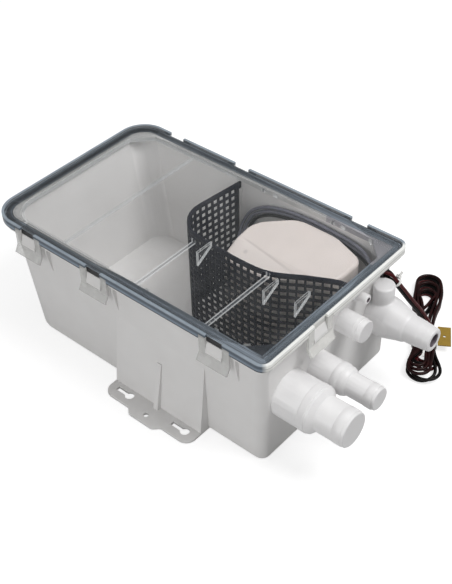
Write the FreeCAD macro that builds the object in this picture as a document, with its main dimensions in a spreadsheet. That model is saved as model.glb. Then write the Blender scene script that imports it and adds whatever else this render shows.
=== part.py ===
import FreeCAD, Part
import math
import os
import Sketcher

V = FreeCAD.Vector

# Driving dimensions, in millimetres and degrees.
# +X points to the pipe end, +Y to the side with the leads, +Z up from the underside.
SIZES = {
    # lid
    "lid_length": 290.0,
    "lid_width": 180.0,
    "lid_corner_left": 24.0,
    "lid_corner_right": 9.0,
    "plate_thick": 2.5,
    "skirt_thick": 1.8,
    "skirt_drop": 3.9,
    "notch_width": 16.0,
    "notch_depth": 2.3,
    "rib_thick": 1.2,
    "rib_drop": 3.0,
    "bar_width": 5.0,
    "bar_drop": 3.5,
    "bar_tip": -10.0,
    "left_rib_place": -70.0,
    "short_bar_place": 8.0,
    "long_bar_place": 79.5,
    "fin_thick": 1.6,
    "fin_drop": 14.0,
    "fin_drop_far": 4.5,
    # gasket
    "gasket_thick": 4.5,
    "gasket_width": 9.3,
    "gasket_chamfer": 16.0,
    # tub
    "tub_height": 106.0,
    "rim_thick": 3.5,
    "rim_clear": 0.4,
    "wall_inset": 7.0,
    "end_inset": 8.5,
    "tub_wall": 2.5,
    "tub_floor": 2.5,
    "side_draft": 2.5,
    "left_draft": 17.0,
    "tub_corner_left": 20.0,
    "tub_corner_right": 8.0,
    "base_round": 3.0,
    # snap clips and their catches
    "clip_width": 29.0,
    "clip_window": 16.0,
    "clip_length": 23.7,
    "clip_bar": 9.5,
    "clip_flare": 3.5,
    "clip_gap": 0.3,
    "side_clip_left": -100.0,
    "side_clip_middle": -25.0,
    "side_clip_right": 98.0,
    "end_clip_place": -25.0,
    "catch_clear": 0.5,
    "catch_side_clear": 0.3,
    "catch_reach": 0.4,
    "guide_thick": 1.5,
    "guide_depth": 3.5,
    "guide_height": 26.0,
    # feet
    "foot_left": -11.5,
    "foot_right": 81.0,
    "foot_reach": 25.0,
    "foot_thick": 2.5,
    "foot_corner": 9.0,
    "lobe_left": 17.0,
    "lobe_right": 52.0,
    "lobe_reach": 30.0,
    "web_reach": 9.5,
    "web_height": 68.0,
    "gusset_place": 36.0,
    "gusset_thick": 4.5,
    "gusset_height": 47.0,
    "keyhole_left": 9.3,
    "keyhole_right": 69.7,
    "keyhole_row": 96.0,
    "keyhole_head": 4.0,
    "keyhole_slot": 2.0,
    "keyhole_travel": 13.5,
    "screw_row": 103.0,
    "screw_place": 34.3,
    "screw_hole": 2.25,
    # inlet spigots on the pipe end
    "port_wall": 2.2,
    "port_flange": 2.0,
    "port_root": 0.5,
    "port_line": 0.4,
    "bond_gap": 0.1,
    "large_y": -52.5,
    "large_z": 56.0,
    "large_base": 19.5,
    "large_tail": 14.75,
    "large_step": 33.5,
    "large_reach": 60.5,
    "medium_y": -16.5,
    "medium_z": 57.0,
    "medium_base": 12.5,
    "medium_tail": 9.75,
    "medium_step": 31.5,
    "medium_reach": 58.0,
    "small_y": 14.5,
    "small_z": 81.0,
    "small_tail": 9.75,
    "small_reach": 22.5,
    "vent_y": 31.0,
    "vent_z": 96.0,
    "vent_tail": 4.0,
    "vent_bore": 2.0,
    "vent_collar": 6.0,
    "vent_reach": 11.5,
    # outlet check valve
    "outlet_y": 59.0,
    "outlet_z": 60.0,
    "valve_neck": 10.0,
    "valve_collar": 15.0,
    "valve_collar_thick": 4.0,
    "valve_bulb": 16.5,
    "valve_chamber": 13.5,
    "valve_mid": 13.5,
    "valve_step": 12.5,
    "valve_step_end": 35.0,
    "valve_tail": 10.5,
    "valve_reach": 56.5,
    "valve_bore": 7.0,
    "valve_seat": 8.0,
    "valve_bonnet": 7.0,
    "valve_cap": 8.5,
    "valve_cap_low": 20.0,
    "valve_cap_high": 33.0,
    "valve_cap_wall": 2.0,
    "seal_thick": 2.0,
    "nut_thick": 4.5,
    "nut_radius": 14.5,
    "flap_radius": 8.5,
    "flap_thick": 2.0,
    "flap_gap": 0.3,
    "flap_pin_height": 10.8,
    "flap_pin": 1.0,
    "flap_pin_length": 18.0,
    "flap_lug": 1.9,
    "flap_lug_width": 5.0,
    "pin_clear": 0.05,
    # strainer screen
    "screen_thick": 2.0,
    "screen_height": 104.0,
    "screen_pitch": 10.0,
    "screen_hole": 6.4,
    "screen_border": 5.0,
    "screen_clear": 0.3,
    "groove_thick": 1.5,
    "groove_depth": 3.0,
    "end_groove_height": 64.0,
    # pump
    "cover_wall": 2.0,
    "cover_top": 99.0,
    "cover_round": 3.0,
    "crease_y": 24.0,
    "crease_fall": 7.0,
    "pump_x": 75.0,
    "pump_y": 38.0,
    "base_height": 5.5,
    "base_wall": 2.0,
    "base_plug": 2.0,
    "intake_width": 3.0,
    "intake_height": 3.2,
    "intake_pitch": 7.0,
    "inlet_eye": 8.0,
    "volute_radius": 22.0,
    "volute_wall": 2.0,
    "volute_room": 12.0,
    "pipe_bore": 4.5,
    "pipe_wall": 1.5,
    "pipe_bend": 7.5,
    "riser_x": 104.5,
    "stub_x": 96.5,
    "elbow_end_x": 123.5,
    "sleeve_wall": 2.0,
    "sleeve_length": 9.5,
    "motor_radius": 20.5,
    "motor_wall": 1.1,
    "motor_length": 62.0,
    "motor_plate": 2.0,
    "motor_plate_radius": 24.2,
    "magnet_thick": 4.5,
    "magnet_length": 38.0,
    "armature_radius": 12.5,
    "armature_length": 32.0,
    "shaft_radius": 2.0,
    "bush_radius": 5.0,
    "bush_length": 5.0,
    "running_clear": 0.05,
    "seal_radius": 5.0,
    "impeller_radius": 15.0,
    "impeller_gap": 1.5,
    "impeller_disc": 1.5,
    "vane_height": 6.0,
    "vane_thick": 1.5,
    "hub_radius": 4.5,
    "screw_circle": 22.4,
    "screw_radius": 1.25,
    "screw_head": 1.7,
    # float and its switch
    "float_pin_x": 46.5,
    "float_pin_z": 34.0,
    "float_pin": 1.5,
    "float_length": 13.0,
    "float_width": 22.0,
    "float_height": 12.0,
    "float_y": 34.0,
    "switch_height": 20.0,
    # leads
    "lead_diameter": 2.8,
    "lead_spread": 2.0,
    "lead_pitch": 3.8,
    "grommet_y": 69.2,
    "grommet_z": 92.0,
    "grommet_bore": 3.45,
    "grommet_neck": 4.6,
    "grommet_flange": 5.4,
    "grommet_lip": 1.5,
    "hank_low": 0.2,
    "hank_thick": 12.0,
    "tag_thick": 0.8,
    "tag_length": 23.0,
    "tag_width": 11.0,
    "tie_thick": 1.3,
    "tie_width": 4.0,
    "tie_room": 25.0,
}


doc = FreeCAD.newDocument("ShowerDrainPump")
sheet = doc.addObject("Spreadsheet::Sheet", "Sizes")
for row, (alias, value) in enumerate(SIZES.items(), 1):
    sheet.set("A%d" % row, alias)
    sheet.set("B%d" % row, str(value))
    sheet.setAlias("B%d" % row, alias)
doc.recompute()


class Size:
    """A length with the sheet expression that gives it."""

    def __init__(self, number, text):
        self.number = number
        self.text = text

    def __float__(self):
        return self.number

    def __add__(self, other):
        other = as_size(other)
        return Size(self.number + other.number, "(%s + %s)" % (self.text, other.text))

    def __sub__(self, other):
        other = as_size(other)
        return Size(self.number - other.number, "(%s - %s)" % (self.text, other.text))

    def __mul__(self, other):
        other = as_size(other)
        return Size(self.number * other.number, "(%s * %s)" % (self.text, other.text))

    def __truediv__(self, other):
        other = as_size(other)
        return Size(self.number / other.number, "(%s / %s)" % (self.text, other.text))

    def __neg__(self):
        return Size(-self.number, "(0 - %s)" % self.text)

    __radd__ = __add__
    __rmul__ = __mul__

    def __rsub__(self, other):
        return as_size(other) - self


def as_size(value):
    if isinstance(value, Size):
        return value
    return Size(float(value), "(%s)" % float(value))


class Cells:
    """The sheet's cells by alias, such as cells.tub_wall."""

    def __getattr__(self, alias):
        return Size(float(sheet.get(alias)), "Sizes.%s" % alias)


c = Cells()


# Places worked out from the driving dimensions
half_length = c.lid_length / 2
half_width = c.lid_width / 2
plate_low = c.tub_height + c.gasket_thick
plate_top = plate_low + c.plate_thick
end_x = half_length - c.end_inset
inner_end_x = end_x - c.tub_wall
rim_inset = c.skirt_thick + c.rim_clear
base_half_width = half_width - c.wall_inset - c.side_draft
clip_top = plate_low - c.clip_gap
catch_low = clip_top - c.clip_length + c.clip_bar + c.catch_clear
catch_width = c.clip_window - c.catch_side_clear * 2
side_clips = (c.side_clip_left, c.side_clip_middle, c.side_clip_right)
cuts = []


def bind(target, path, value):
    target.setExpression(path, as_size(value).text)


def place(target, x=0, y=0, z=0, axis=(0, 0, 1), angle=0):
    target.Placement = FreeCAD.Placement(V(0, 0, 0), FreeCAD.Rotation(V(*axis), angle))
    bind(target, "Placement.Base.x", x)
    bind(target, "Placement.Base.y", y)
    bind(target, "Placement.Base.z", z)
    return target


def new_body(label):
    body = doc.addObject("PartDesign::Body", label)
    body.Label = label
    return body


def flat_sketch(body, plane, offset, name):
    sketch = body.newObject("Sketcher::SketchObject", name)
    roles = {item.Role: item for item in body.Origin.OriginFeatures}
    sketch.AttachmentSupport = [(roles[plane + "_Plane"], "")]
    sketch.MapMode = "FlatFace"
    bind(sketch, "AttachmentOffset.Base.z", offset)
    return sketch


def add_pin(sketch, geometry, vertex, u, v):
    for kind, value in (("DistanceX", u), ("DistanceY", v)):
        value = as_size(value)
        index = sketch.addConstraint(Sketcher.Constraint(kind, -1, 1, geometry, vertex, value.number))
        sketch.setExpression("Constraints[%d]" % index, value.text)


def add_radius(sketch, geometry, radius):
    index = sketch.addConstraint(Sketcher.Constraint("Radius", geometry, radius.number))
    sketch.setExpression("Constraints[%d]" % index, radius.text)


def add_loop(sketch, corners):
    """Closed loop through corners (u, v) or (u, v, radius), each held by the sheet."""
    count = len(corners)
    spots = [V(float(item[0]), float(item[1]), 0) for item in corners]
    starts = []
    ends = []
    turns = []
    for index, corner in enumerate(corners):
        into = (spots[index] - spots[index - 1]).normalize()
        away = (spots[(index + 1) % count] - spots[index]).normalize()
        turn = math.atan2(into.x * away.y - into.y * away.x, into.dot(away))
        trim = float(corner[2]) * math.tan(abs(turn) / 2) if len(corner) > 2 else 0.0
        ends.append(spots[index] - into * trim)
        starts.append(spots[index] + away * trim)
        turns.append((turn, into))
    lines = [
        sketch.addGeometry(Part.LineSegment(starts[index], ends[(index + 1) % count]), False)
        for index in range(count)
    ]
    for index, corner in enumerate(corners):
        before = lines[index - 1]
        after = lines[index]
        if len(corner) == 2:
            sketch.addConstraint(Sketcher.Constraint("Coincident", before, 2, after, 1))
            add_pin(sketch, after, 1, corner[0], corner[1])
            continue
        turn, into = turns[index]
        side = 1 if turn > 0 else -1
        centre = ends[index] + V(-into.y, into.x, 0) * (float(corner[2]) * side)
        first, last = (ends[index], starts[index]) if side > 0 else (starts[index], ends[index])
        circle = Part.Circle(centre, V(0, 0, 1), float(corner[2]))
        low = math.atan2(first.y - centre.y, first.x - centre.x)
        high = math.atan2(last.y - centre.y, last.x - centre.x)
        arc = sketch.addGeometry(Part.ArcOfCircle(circle, low, high), False)
        spot = sketch.addGeometry(Part.Point(spots[index]), True)
        add_pin(sketch, spot, 1, corner[0], corner[1])
        near, far = (1, 2) if side > 0 else (2, 1)
        sketch.addConstraint(Sketcher.Constraint("Tangent", before, 2, arc, near))
        sketch.addConstraint(Sketcher.Constraint("Tangent", arc, far, after, 1))
        sketch.addConstraint(Sketcher.Constraint("PointOnObject", spot, 1, before))
        sketch.addConstraint(Sketcher.Constraint("PointOnObject", spot, 1, after))
        add_radius(sketch, arc, as_size(corner[2]))


def outline(body, plane, loops, offset=0, name="Outline"):
    sketch = flat_sketch(body, plane, offset, name)
    for loop in loops:
        add_loop(sketch, loop)
    return sketch


def circles(body, plane, rounds, offset=0, name="Circles"):
    sketch = flat_sketch(body, plane, offset, name)
    for u, v, radius in rounds:
        circle = Part.Circle(V(float(u), float(v), 0), V(0, 0, 1), float(radius))
        geometry = sketch.addGeometry(circle, False)
        add_pin(sketch, geometry, 3, u, v)
        add_radius(sketch, geometry, as_size(radius))
    return sketch


def pad(body, sketch, length, back=False, middle=False, name="Pad"):
    feature = body.newObject("PartDesign::Pad", name)
    feature.Profile = sketch
    feature.Reversed = back
    if middle:
        feature.SideType = "Symmetric"
    bind(feature, "Length", length)
    return feature


def pocket(body, sketch, length, back=False, middle=False, name="Pocket"):
    feature = body.newObject("PartDesign::Pocket", name)
    feature.Profile = sketch
    feature.Reversed = back
    if middle:
        feature.SideType = "Symmetric"
    bind(feature, "Length", length)
    cuts.append(feature)
    return feature


def loft(body, sections, cut=False, name="Loft"):
    kind = "PartDesign::SubtractiveLoft" if cut else "PartDesign::AdditiveLoft"
    feature = body.newObject(kind, name)
    feature.Profile = sections[0]
    feature.Sections = sections[1:]
    feature.Ruled = True
    if cut:
        cuts.append(feature)
    return feature


def turned(label, profile, upright=False):
    """Body turned about its own X axis, or about Z when upright."""
    body = new_body(label)
    sketch = outline(body, "XZ", [profile], name="Profile")
    feature = body.newObject("PartDesign::Revolution", "Turned")
    feature.Profile = sketch
    feature.ReferenceAxis = (sketch, ["V_Axis" if upright else "H_Axis"])
    feature.Angle = 360
    return body


def rectangle(low_u, low_v, high_u, high_v):
    return [(low_u, low_v), (high_u, low_v), (high_u, high_v), (low_u, high_v)]


def rounded(low_u, low_v, high_u, high_v, left, right):
    return [
        (low_u, low_v, left),
        (high_u, low_v, right),
        (high_u, high_v, right),
        (low_u, high_v, left),
    ]


def lid_outline(inset):
    edge_x = half_length - inset
    edge_y = half_width - inset
    left = c.lid_corner_left - inset
    right = c.lid_corner_right - inset
    return rounded(-edge_x, -edge_y, edge_x, edge_y, left, right)


def gasket_inner(inset):
    """Inner line of the gasket: one rounded corner and three cut ones."""
    edge_x = half_length - inset
    edge_y = half_width - inset
    cut = c.gasket_chamfer
    return [
        (-edge_x, -edge_y, c.lid_corner_left - rim_inset),
        (edge_x - cut, -edge_y),
        (edge_x, -edge_y + cut),
        (edge_x, edge_y - cut),
        (edge_x - cut, edge_y),
        (-edge_x + cut, edge_y),
        (-edge_x, edge_y - cut),
    ]


def tub_outline(height, inset):
    """Outside of the tub's wall at a height, drawn in by an inset."""
    share = 1 - as_size(height) / c.tub_height
    left = half_length - c.wall_inset - c.left_draft * share - inset
    side = half_width - c.wall_inset - c.side_draft * share - inset
    return rounded(-left, -side, end_x - inset, side, c.tub_corner_left - inset, c.tub_corner_right - inset)


def side_y(height, inset=0):
    """Distance from the middle to the tub's long wall at a height."""
    share = 1 - as_size(height) / c.tub_height
    return half_width - c.wall_inset - c.side_draft * share - inset


def cylinder(label, radius, length, x=0, y=0, z=0, axis=(0, 0, 1), angle=0):
    item = doc.addObject("Part::Cylinder", label)
    item.Label = label
    bind(item, "Radius", radius)
    bind(item, "Height", length)
    return place(item, x, y, z, axis, angle)


def box(label, length, width, height, x=0, y=0, z=0):
    item = doc.addObject("Part::Box", label)
    item.Label = label
    bind(item, "Length", length)
    bind(item, "Width", width)
    bind(item, "Height", height)
    return place(item, x, y, z)


def cut(label, base, tool):
    item = doc.addObject("Part::Cut", label)
    item.Label = label
    item.Base = base
    item.Tool = tool
    return item


def fuse(label, items):
    item = doc.addObject("Part::MultiFuse", label)
    item.Label = label
    item.Shapes = items
    item.Refine = True
    return item


def along_x(label, radius, bore, low, high, y, z):
    """Tube with its axis along X, from low to high."""
    outside = cylinder(label + "_outside", radius, high - low, low, y, z, (0, 1, 0), 90)
    inside = cylinder(label + "_inside", bore, high - low, low, y, z, (0, 1, 0), 90)
    return cut(label, outside, inside)


def upright_tube(label, radius, bore, low, high, x, y):
    outside = cylinder(label + "_outside", radius, high - low, x, y, low)
    inside = cylinder(label + "_inside", bore, high - low, x, y, low)
    return cut(label, outside, inside)


# Tub
def make_tub():
    body = new_body("tub_shell")
    rounding = c.base_round * 0.29
    sections = [
        outline(body, "XY", [tub_outline(0, c.base_round)], 0, "BaseOutline"),
        outline(body, "XY", [tub_outline(rounding, rounding)], rounding, "BendOutline"),
        outline(body, "XY", [tub_outline(c.base_round, 0)], c.base_round, "WallOutline"),
        outline(body, "XY", [tub_outline(c.tub_height, 0)], c.tub_height, "TopOutline"),
    ]
    loft(body, sections, name="Wall")

    rim_low = c.tub_height - c.rim_thick
    rim = outline(body, "XY", [lid_outline(rim_inset)], rim_low, "RimOutline")
    pad(body, rim, c.rim_thick, name="Rim")
    low = outline(body, "XY", [tub_outline(c.tub_floor, c.tub_wall)], c.tub_floor, "RoomFloor")
    high = outline(body, "XY", [tub_outline(c.tub_height, c.tub_wall)], c.tub_height, "RoomTop")
    loft(body, [low, high], cut=True, name="Room")

    # the rim stops either side of the end clip
    gap = c.clip_width / 2 + 5
    notch = rectangle(end_x + 1, c.end_clip_place - gap, half_length, c.end_clip_place + gap)
    pocket(body, outline(body, "XY", [notch], rim_low, "RimNotch"), c.rim_thick, back=True, name="RimGap")

    make_catches(body)
    make_foot(body, -1)
    make_foot(body, 1)
    make_grooves(body)
    holes = [
        (c.large_y, c.large_z, c.large_base + c.port_root + c.bond_gap),
        (c.medium_y, c.medium_z, c.medium_base + c.port_root + c.bond_gap),
        (c.small_y, c.small_z, c.small_tail + c.port_root + c.bond_gap),
        (c.vent_y, c.vent_z, c.vent_tail + c.bond_gap),
        (c.outlet_y, c.outlet_z, c.valve_neck + c.bond_gap),
        (c.grommet_y, c.grommet_z, c.grommet_neck),
    ]
    through = circles(body, "YZ", holes, end_x + 1, "PortHoles")
    pocket(body, through, c.tub_wall + 2, name="Ports")
    return body


def catch_profile(side, root, edge):
    """Catch section: flat underside, short nose, slope up to the rim."""
    nose = edge + c.catch_reach
    return [
        (root * side, catch_low),
        (nose * side, catch_low),
        (nose * side, catch_low + 2),
        ((edge - c.skirt_thick) * side, c.tub_height),
        (root * side, c.tub_height),
    ]


def make_catches(body):
    guide_low = c.tub_height - c.rim_thick - c.guide_height
    for side in (-1, 1):
        for clip in side_clips:
            profile = catch_profile(side, half_width - c.wall_inset - 1, half_width)
            sketch = outline(body, "YZ", [profile], clip, "CatchOutline")
            pad(body, sketch, catch_width, middle=True, name="Catch")
            for hand in (-1, 1):
                rib = [
                    (side_y(guide_low, 1) * side, guide_low),
                    ((side_y(guide_low) + 0.4) * side, guide_low),
                    ((side_y(c.tub_height) + c.guide_depth) * side, c.tub_height - c.rim_thick - 6),
                    ((side_y(c.tub_height) + c.guide_depth) * side, c.tub_height - 1),
                    (side_y(c.tub_height, 1) * side, c.tub_height - 1),
                ]
                spot = clip + (c.clip_width / 2 + 2) * hand
                pad(body, outline(body, "YZ", [rib], spot, "GuideOutline"), c.guide_thick, middle=True, name="Guide")
    profile = catch_profile(1, end_x - 1, half_length)
    sketch = outline(body, "XZ", [profile], -c.end_clip_place, "EndCatchOutline")
    pad(body, sketch, catch_width, middle=True, name="EndCatch")


def make_foot(body, side):
    edge = base_half_width + c.foot_reach
    lobe = base_half_width + c.lobe_reach
    inner = base_half_width - 5
    flange = [
        (c.foot_left, inner * side),
        (c.foot_left, edge * side, c.foot_corner),
        (c.lobe_left, edge * side, 4),
        (c.lobe_left + 5, lobe * side, 5),
        (c.lobe_right - 5, lobe * side, 5),
        (c.lobe_right, edge * side, 4),
        (c.foot_right, edge * side, c.foot_corner),
        (c.foot_right, inner * side),
    ]
    sketch = outline(body, "XY", [flange], 0, "FootOutline")
    pad(body, sketch, c.foot_thick, name="Foot")
    web_foot = base_half_width + c.web_reach
    web_low = c.foot_thick
    slope = [
        ((base_half_width - 1) * side, web_low - 1),
        (web_foot * side, web_low - 1),
        (web_foot * side, web_low),
        (side_y(c.web_height) * side, c.web_height),
        (side_y(c.web_height, 1) * side, c.web_height),
    ]
    web_length = c.foot_right - c.foot_left
    middle = (c.foot_right + c.foot_left) / 2
    pad(body, outline(body, "YZ", [slope], middle, "WebOutline"), web_length, middle=True, name="Web")
    apex = base_half_width + c.web_reach + 4
    gusset = [
        ((web_foot - 3) * side, web_low - 1),
        (apex * side, web_low - 1),
        (apex * side, web_low),
        (side_y(c.gusset_height, -4) * side, c.gusset_height),
        (side_y(c.gusset_height) * side, c.gusset_height),
    ]
    pad(
        body,
        outline(body, "YZ", [gusset], c.gusset_place, "GussetOutline"),
        c.gusset_thick,
        middle=True,
        name="Gusset",
    )
    row = c.keyhole_row * side
    heads = [(spot, row, c.keyhole_head) for spot in (c.keyhole_left, c.keyhole_right)]
    heads.append((c.screw_place, c.screw_row * side, c.screw_hole))
    pocket(body, circles(body, "XY", heads, -1, "FootHoles"), c.foot_thick + 2, back=True, name="FootHoles")
    slots = []
    for spot in (c.keyhole_left, c.keyhole_right):
        slots.append(rectangle(spot - c.keyhole_travel, row - c.keyhole_slot, spot, row + c.keyhole_slot))
    pocket(body, outline(body, "XY", slots, -1, "FootSlots"), c.foot_thick + 2, back=True, name="FootSlots")


def make_grooves(body):
    """Pairs of small ribs that hold the two ends of the strainer screen."""
    half = c.screen_thick / 2 + c.screen_clear
    top = c.tub_height - 8
    wall_low = side_y(c.tub_floor, c.tub_wall)
    wall_high = side_y(top, c.tub_wall)
    rib = [
        (wall_low - c.groove_depth, c.tub_floor - 1),
        (wall_low + 1, c.tub_floor - 1),
        (wall_high + 1, top),
        (wall_high - c.groove_depth, top),
    ]
    for hand in (-1, 1):
        spot = screen_start_x + (half + c.groove_thick / 2) * hand
        pad(body, outline(body, "YZ", [rib], spot, "GrooveOutline"), c.groove_thick, middle=True, name="Groove")
        near = screen_end_y + (half + c.groove_thick / 2) * hand - c.groove_thick / 2
        end = rectangle(inner_end_x - 2, near, inner_end_x + 1, near + c.groove_thick)
        sketch = outline(body, "XY", [end], c.tub_floor - 1, "EndGrooveOutline")
        pad(body, sketch, c.end_groove_height, name="EndGroove")


# Strainer screen path in plan: start on the long wall, end on the pipe end
screen_start_x = as_size(-20.0)
screen_end_y = as_size(29.0)
SCREEN_CORNERS = [(-28.5, 2.5, 30.0), (46.0, -1.0, 50.0), (74.0, 0.0, 50.0), (98.0, 15.0, 45.0), (123.0, 28.0, 20.0)]


def path_through(points, radii):
    """Straight runs joined by tangent arcs through listed corners."""
    edges = []
    last = points[0]
    for index, radius in enumerate(radii, 1):
        into = (points[index] - points[index - 1]).normalize()
        away = (points[index + 1] - points[index]).normalize()
        turn = into.getAngle(away)
        trim = radius * math.tan(turn / 2)
        start = points[index] - into * trim
        finish = points[index] + away * trim
        inward = (away - into).normalize()
        middle = points[index] + inward * (radius / math.cos(turn / 2) - radius)
        edges.append(Part.LineSegment(last, start).toShape())
        edges.append(Part.Arc(start, middle, finish).toShape())
        last = finish
    edges.append(Part.LineSegment(last, points[-1]).toShape())
    return Part.Wire(edges)


def make_screen():
    """Curved sheet with square holes in upright columns."""
    thick = float(c.screen_thick)
    clear = float(c.screen_clear)
    low = float(c.tub_floor)
    high = float(c.screen_height)
    start = V(float(screen_start_x), float(side_y(c.tub_floor, c.tub_wall)) - clear, 0)
    finish = V(float(inner_end_x) - clear, float(screen_end_y), 0)
    points = [start] + [V(x, y, 0) for x, y, radius in SCREEN_CORNERS] + [finish]
    path = path_through(points, [radius for x, y, radius in SCREEN_CORNERS])
    pieces = []
    for edge in path.Edges:
        near, far = edge.ParameterRange
        corners = []
        for value in (near, far):
            spot = edge.valueAt(value)
            along = edge.tangentAt(value)
            side = V(-along.y, along.x, 0) * (thick / 2)
            corners.append((spot + side, spot - side))
        mid = edge.valueAt((near + far) / 2)
        along = edge.tangentAt((near + far) / 2)
        side = V(-along.y, along.x, 0) * (thick / 2)
        if edge.Curve.TypeId == "Part::GeomCircle":
            left = Part.Arc(corners[0][0], mid + side, corners[1][0]).toShape()
            right = Part.Arc(corners[1][1], mid - side, corners[0][1]).toShape()
        else:
            left = Part.LineSegment(corners[0][0], corners[1][0]).toShape()
            right = Part.LineSegment(corners[1][1], corners[0][1]).toShape()
        closing = Part.LineSegment(corners[1][0], corners[1][1]).toShape()
        opening = Part.LineSegment(corners[0][1], corners[0][0]).toShape()
        face = Part.Face(Part.Wire([left, closing, right, opening]))
        face.translate(V(0, 0, low))
        pieces.append(face.extrude(V(0, 0, high - low)))
    sheet_solid = pieces[0].fuse(pieces[1:]).removeSplitter()
    hole = float(c.screen_hole)
    pitch = float(c.screen_pitch)
    border = float(c.screen_border)
    columns = int((path.Length - 2 * border) / pitch)
    rows = int((high - low - 2 * border) / pitch)
    margin = (path.Length - columns * pitch) / 2
    spots = path.discretize(Distance=path.Length / 1000)
    tools = []
    for column in range(columns):
        distance = margin + (column + 0.5) * pitch
        index = int(distance / path.Length * (len(spots) - 1))
        along = (spots[index + 1] - spots[index - 1]).normalize()
        angle = math.degrees(math.atan2(along.y, along.x))
        for level in range(rows):
            tool = Part.makeBox(hole, thick * 3, hole, V(-hole / 2, -thick * 1.5, 0))
            tool.rotate(V(0, 0, 0), V(0, 0, 1), angle)
            tool.translate(V(spots[index].x, spots[index].y, low + border + level * pitch + (pitch - hole) / 2))
            tools.append(tool)
    screen = doc.addObject("Part::Feature", "strainer_screen")
    screen.Label = "strainer_screen"
    screen.Shape = sheet_solid.cut(Part.makeCompound(tools))
    return screen


# Lid and gasket
def make_lid():
    body = new_body("lid_cover")
    pad(body, outline(body, "XY", [lid_outline(0)], plate_low, "PlateOutline"), c.plate_thick, name="Plate")
    skirt_low = plate_low - c.skirt_drop
    skirt = outline(body, "XY", [lid_outline(0), lid_outline(c.skirt_thick)], skirt_low, "SkirtOutline")
    pad(body, skirt, c.skirt_drop, name="Skirt")
    inner = rim_inset + c.gasket_width
    lips = outline(body, "XY", [gasket_inner(inner + 0.5), gasket_inner(inner + 0.5 + c.rib_thick)], plate_low, "RibLine")
    pad(body, lips, c.rib_drop, back=True, name="LocatingRib")

    # skirt gaps beside the clips, and slots in the plate above their windows
    gap = c.clip_width / 2 + c.clip_gap
    slot = c.notch_width / 2
    gaps = []
    slots = []
    for side in (-1, 1):
        outer = (half_width + 1) * side
        inside = (half_width - c.skirt_thick - 0.2) * side
        deep = (half_width - c.notch_depth) * side
        for clip in side_clips:
            gaps.append(rectangle(clip - gap, inside, clip + gap, outer))
            slots.append(rectangle(clip - slot, deep, clip + slot, outer))
    end = c.end_clip_place
    gaps.append(rectangle(half_length - c.skirt_thick - 0.2, end - gap, half_length + 1, end + gap))
    slots.append(rectangle(half_length - c.notch_depth, end - slot, half_length + 1, end + slot))
    pocket(body, outline(body, "XY", gaps, plate_low, "SkirtGaps"), c.skirt_drop + 1, name="ClipGaps")
    pocket(body, outline(body, "XY", slots, plate_top + 1, "PlateSlots"), c.plate_thick + 2, name="ClipSlots")

    # stiffening bars under the plate
    reach = half_width - inner - 1
    bars = [
        rectangle(c.left_rib_place - c.rib_thick / 2, -reach, c.left_rib_place + c.rib_thick / 2, reach),
        rounded(
            c.short_bar_place - c.bar_width / 2, -reach, c.short_bar_place + c.bar_width / 2, c.bar_tip, 1.5, 1.5
        ),
        rounded(
            c.long_bar_place - c.bar_width / 2, -reach, c.long_bar_place + c.bar_width / 2, c.bar_tip, 1.5, 1.5
        ),
    ]
    pad(body, outline(body, "XY", bars, plate_low, "BarOutline"), c.bar_drop, back=True, name="Bars")
    knobs = [(c.long_bar_place, c.bar_tip + 2, c.bar_width * 0.7)]
    pad(body, circles(body, "XY", knobs, plate_low, "KnobCircle"), c.bar_drop, back=True, name="Knob")

    # fins that steady the top of the strainer screen
    for spot, near, far in ((21, -21, -4), (90, -24, -6), (117, -20, -2)):
        fin = [
            (near, plate_low + 0.5),
            (near, plate_low - c.fin_drop),
            (far, plate_low - c.fin_drop_far),
            (far, plate_low + 0.5),
        ]
        pad(body, outline(body, "YZ", [fin], spot, "FinOutline"), c.fin_thick, middle=True, name="Fin")
    return body


def make_gasket():
    body = new_body("lid_gasket")
    ring = [lid_outline(rim_inset), gasket_inner(rim_inset + c.gasket_width)]
    pad(body, outline(body, "XY", ring, c.tub_height, "GasketOutline"), c.gasket_thick, name="Gasket")
    return body


# Snap clips, drawn at the middle of the lid edge with -Y outward
def make_clip(label, x, y, angle):
    body = new_body(label)
    half = c.clip_width / 2
    window = c.clip_window / 2
    bar_top = c.clip_bar - c.clip_length
    bend = bar_top - 2
    thick = c.skirt_thick
    bar = [
        (thick, bar_top),
        (0, bar_top),
        (0, bend),
        (-c.clip_flare, -c.clip_length + 1.1),
        (thick - c.clip_flare - 0.3, -c.clip_length),
        (thick, bend - 1),
    ]
    pad(body, outline(body, "YZ", [bar], 0, "BarOutline"), c.clip_width, middle=True, name="Bar")
    arms = [
        rectangle(-half, bend, -window, 0),
        rectangle(window, bend, half, 0),
    ]
    pad(body, outline(body, "XZ", arms, 0, "ArmOutline"), thick, back=True, name="Arms")
    return place(body, x, y, clip_top, (0, 0, 1), angle)


def make_clips():
    names = ("left", "middle", "right")
    for side, word, angle in ((-1, "near", 0), (1, "far", 180)):
        for name, clip in zip(names, side_clips):
            make_clip("clip_%s_%s" % (word, name), clip, half_width * side, angle)
    make_clip("clip_end", half_length, c.end_clip_place, 90)


# Spigots on the pipe end, drawn with x = 0 on the wall's outer face
def make_stepped_spigot(label, y, z, base, tail, step, reach):
    wall = c.port_wall
    inside = -c.tub_wall
    profile = [
        (inside - c.port_flange, base - wall),
        (inside - c.port_flange, base + c.port_flange - 0.3),
        (inside, base + c.port_flange - 0.3),
        (inside, base + c.port_root),
        (0, base + c.port_root),
        (0, base),
        (step - 6, base),
        (step - 5.7, base - c.port_line),
        (step - 3, base - c.port_line),
        (step, tail + 1.2, 1.5),
        (step + 1, tail),
        (reach - 5, tail),
        (reach - 4.7, tail - c.port_line),
        (reach - 0.6, tail - c.port_line),
        (reach, tail - 1),
        (reach, 0),
        (reach - wall, 0),
        (reach - wall, tail - wall),
        (step - 1, tail - wall),
        (step - 3, base - wall),
    ]
    return place(turned(label, profile), end_x, y, z)


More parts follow.
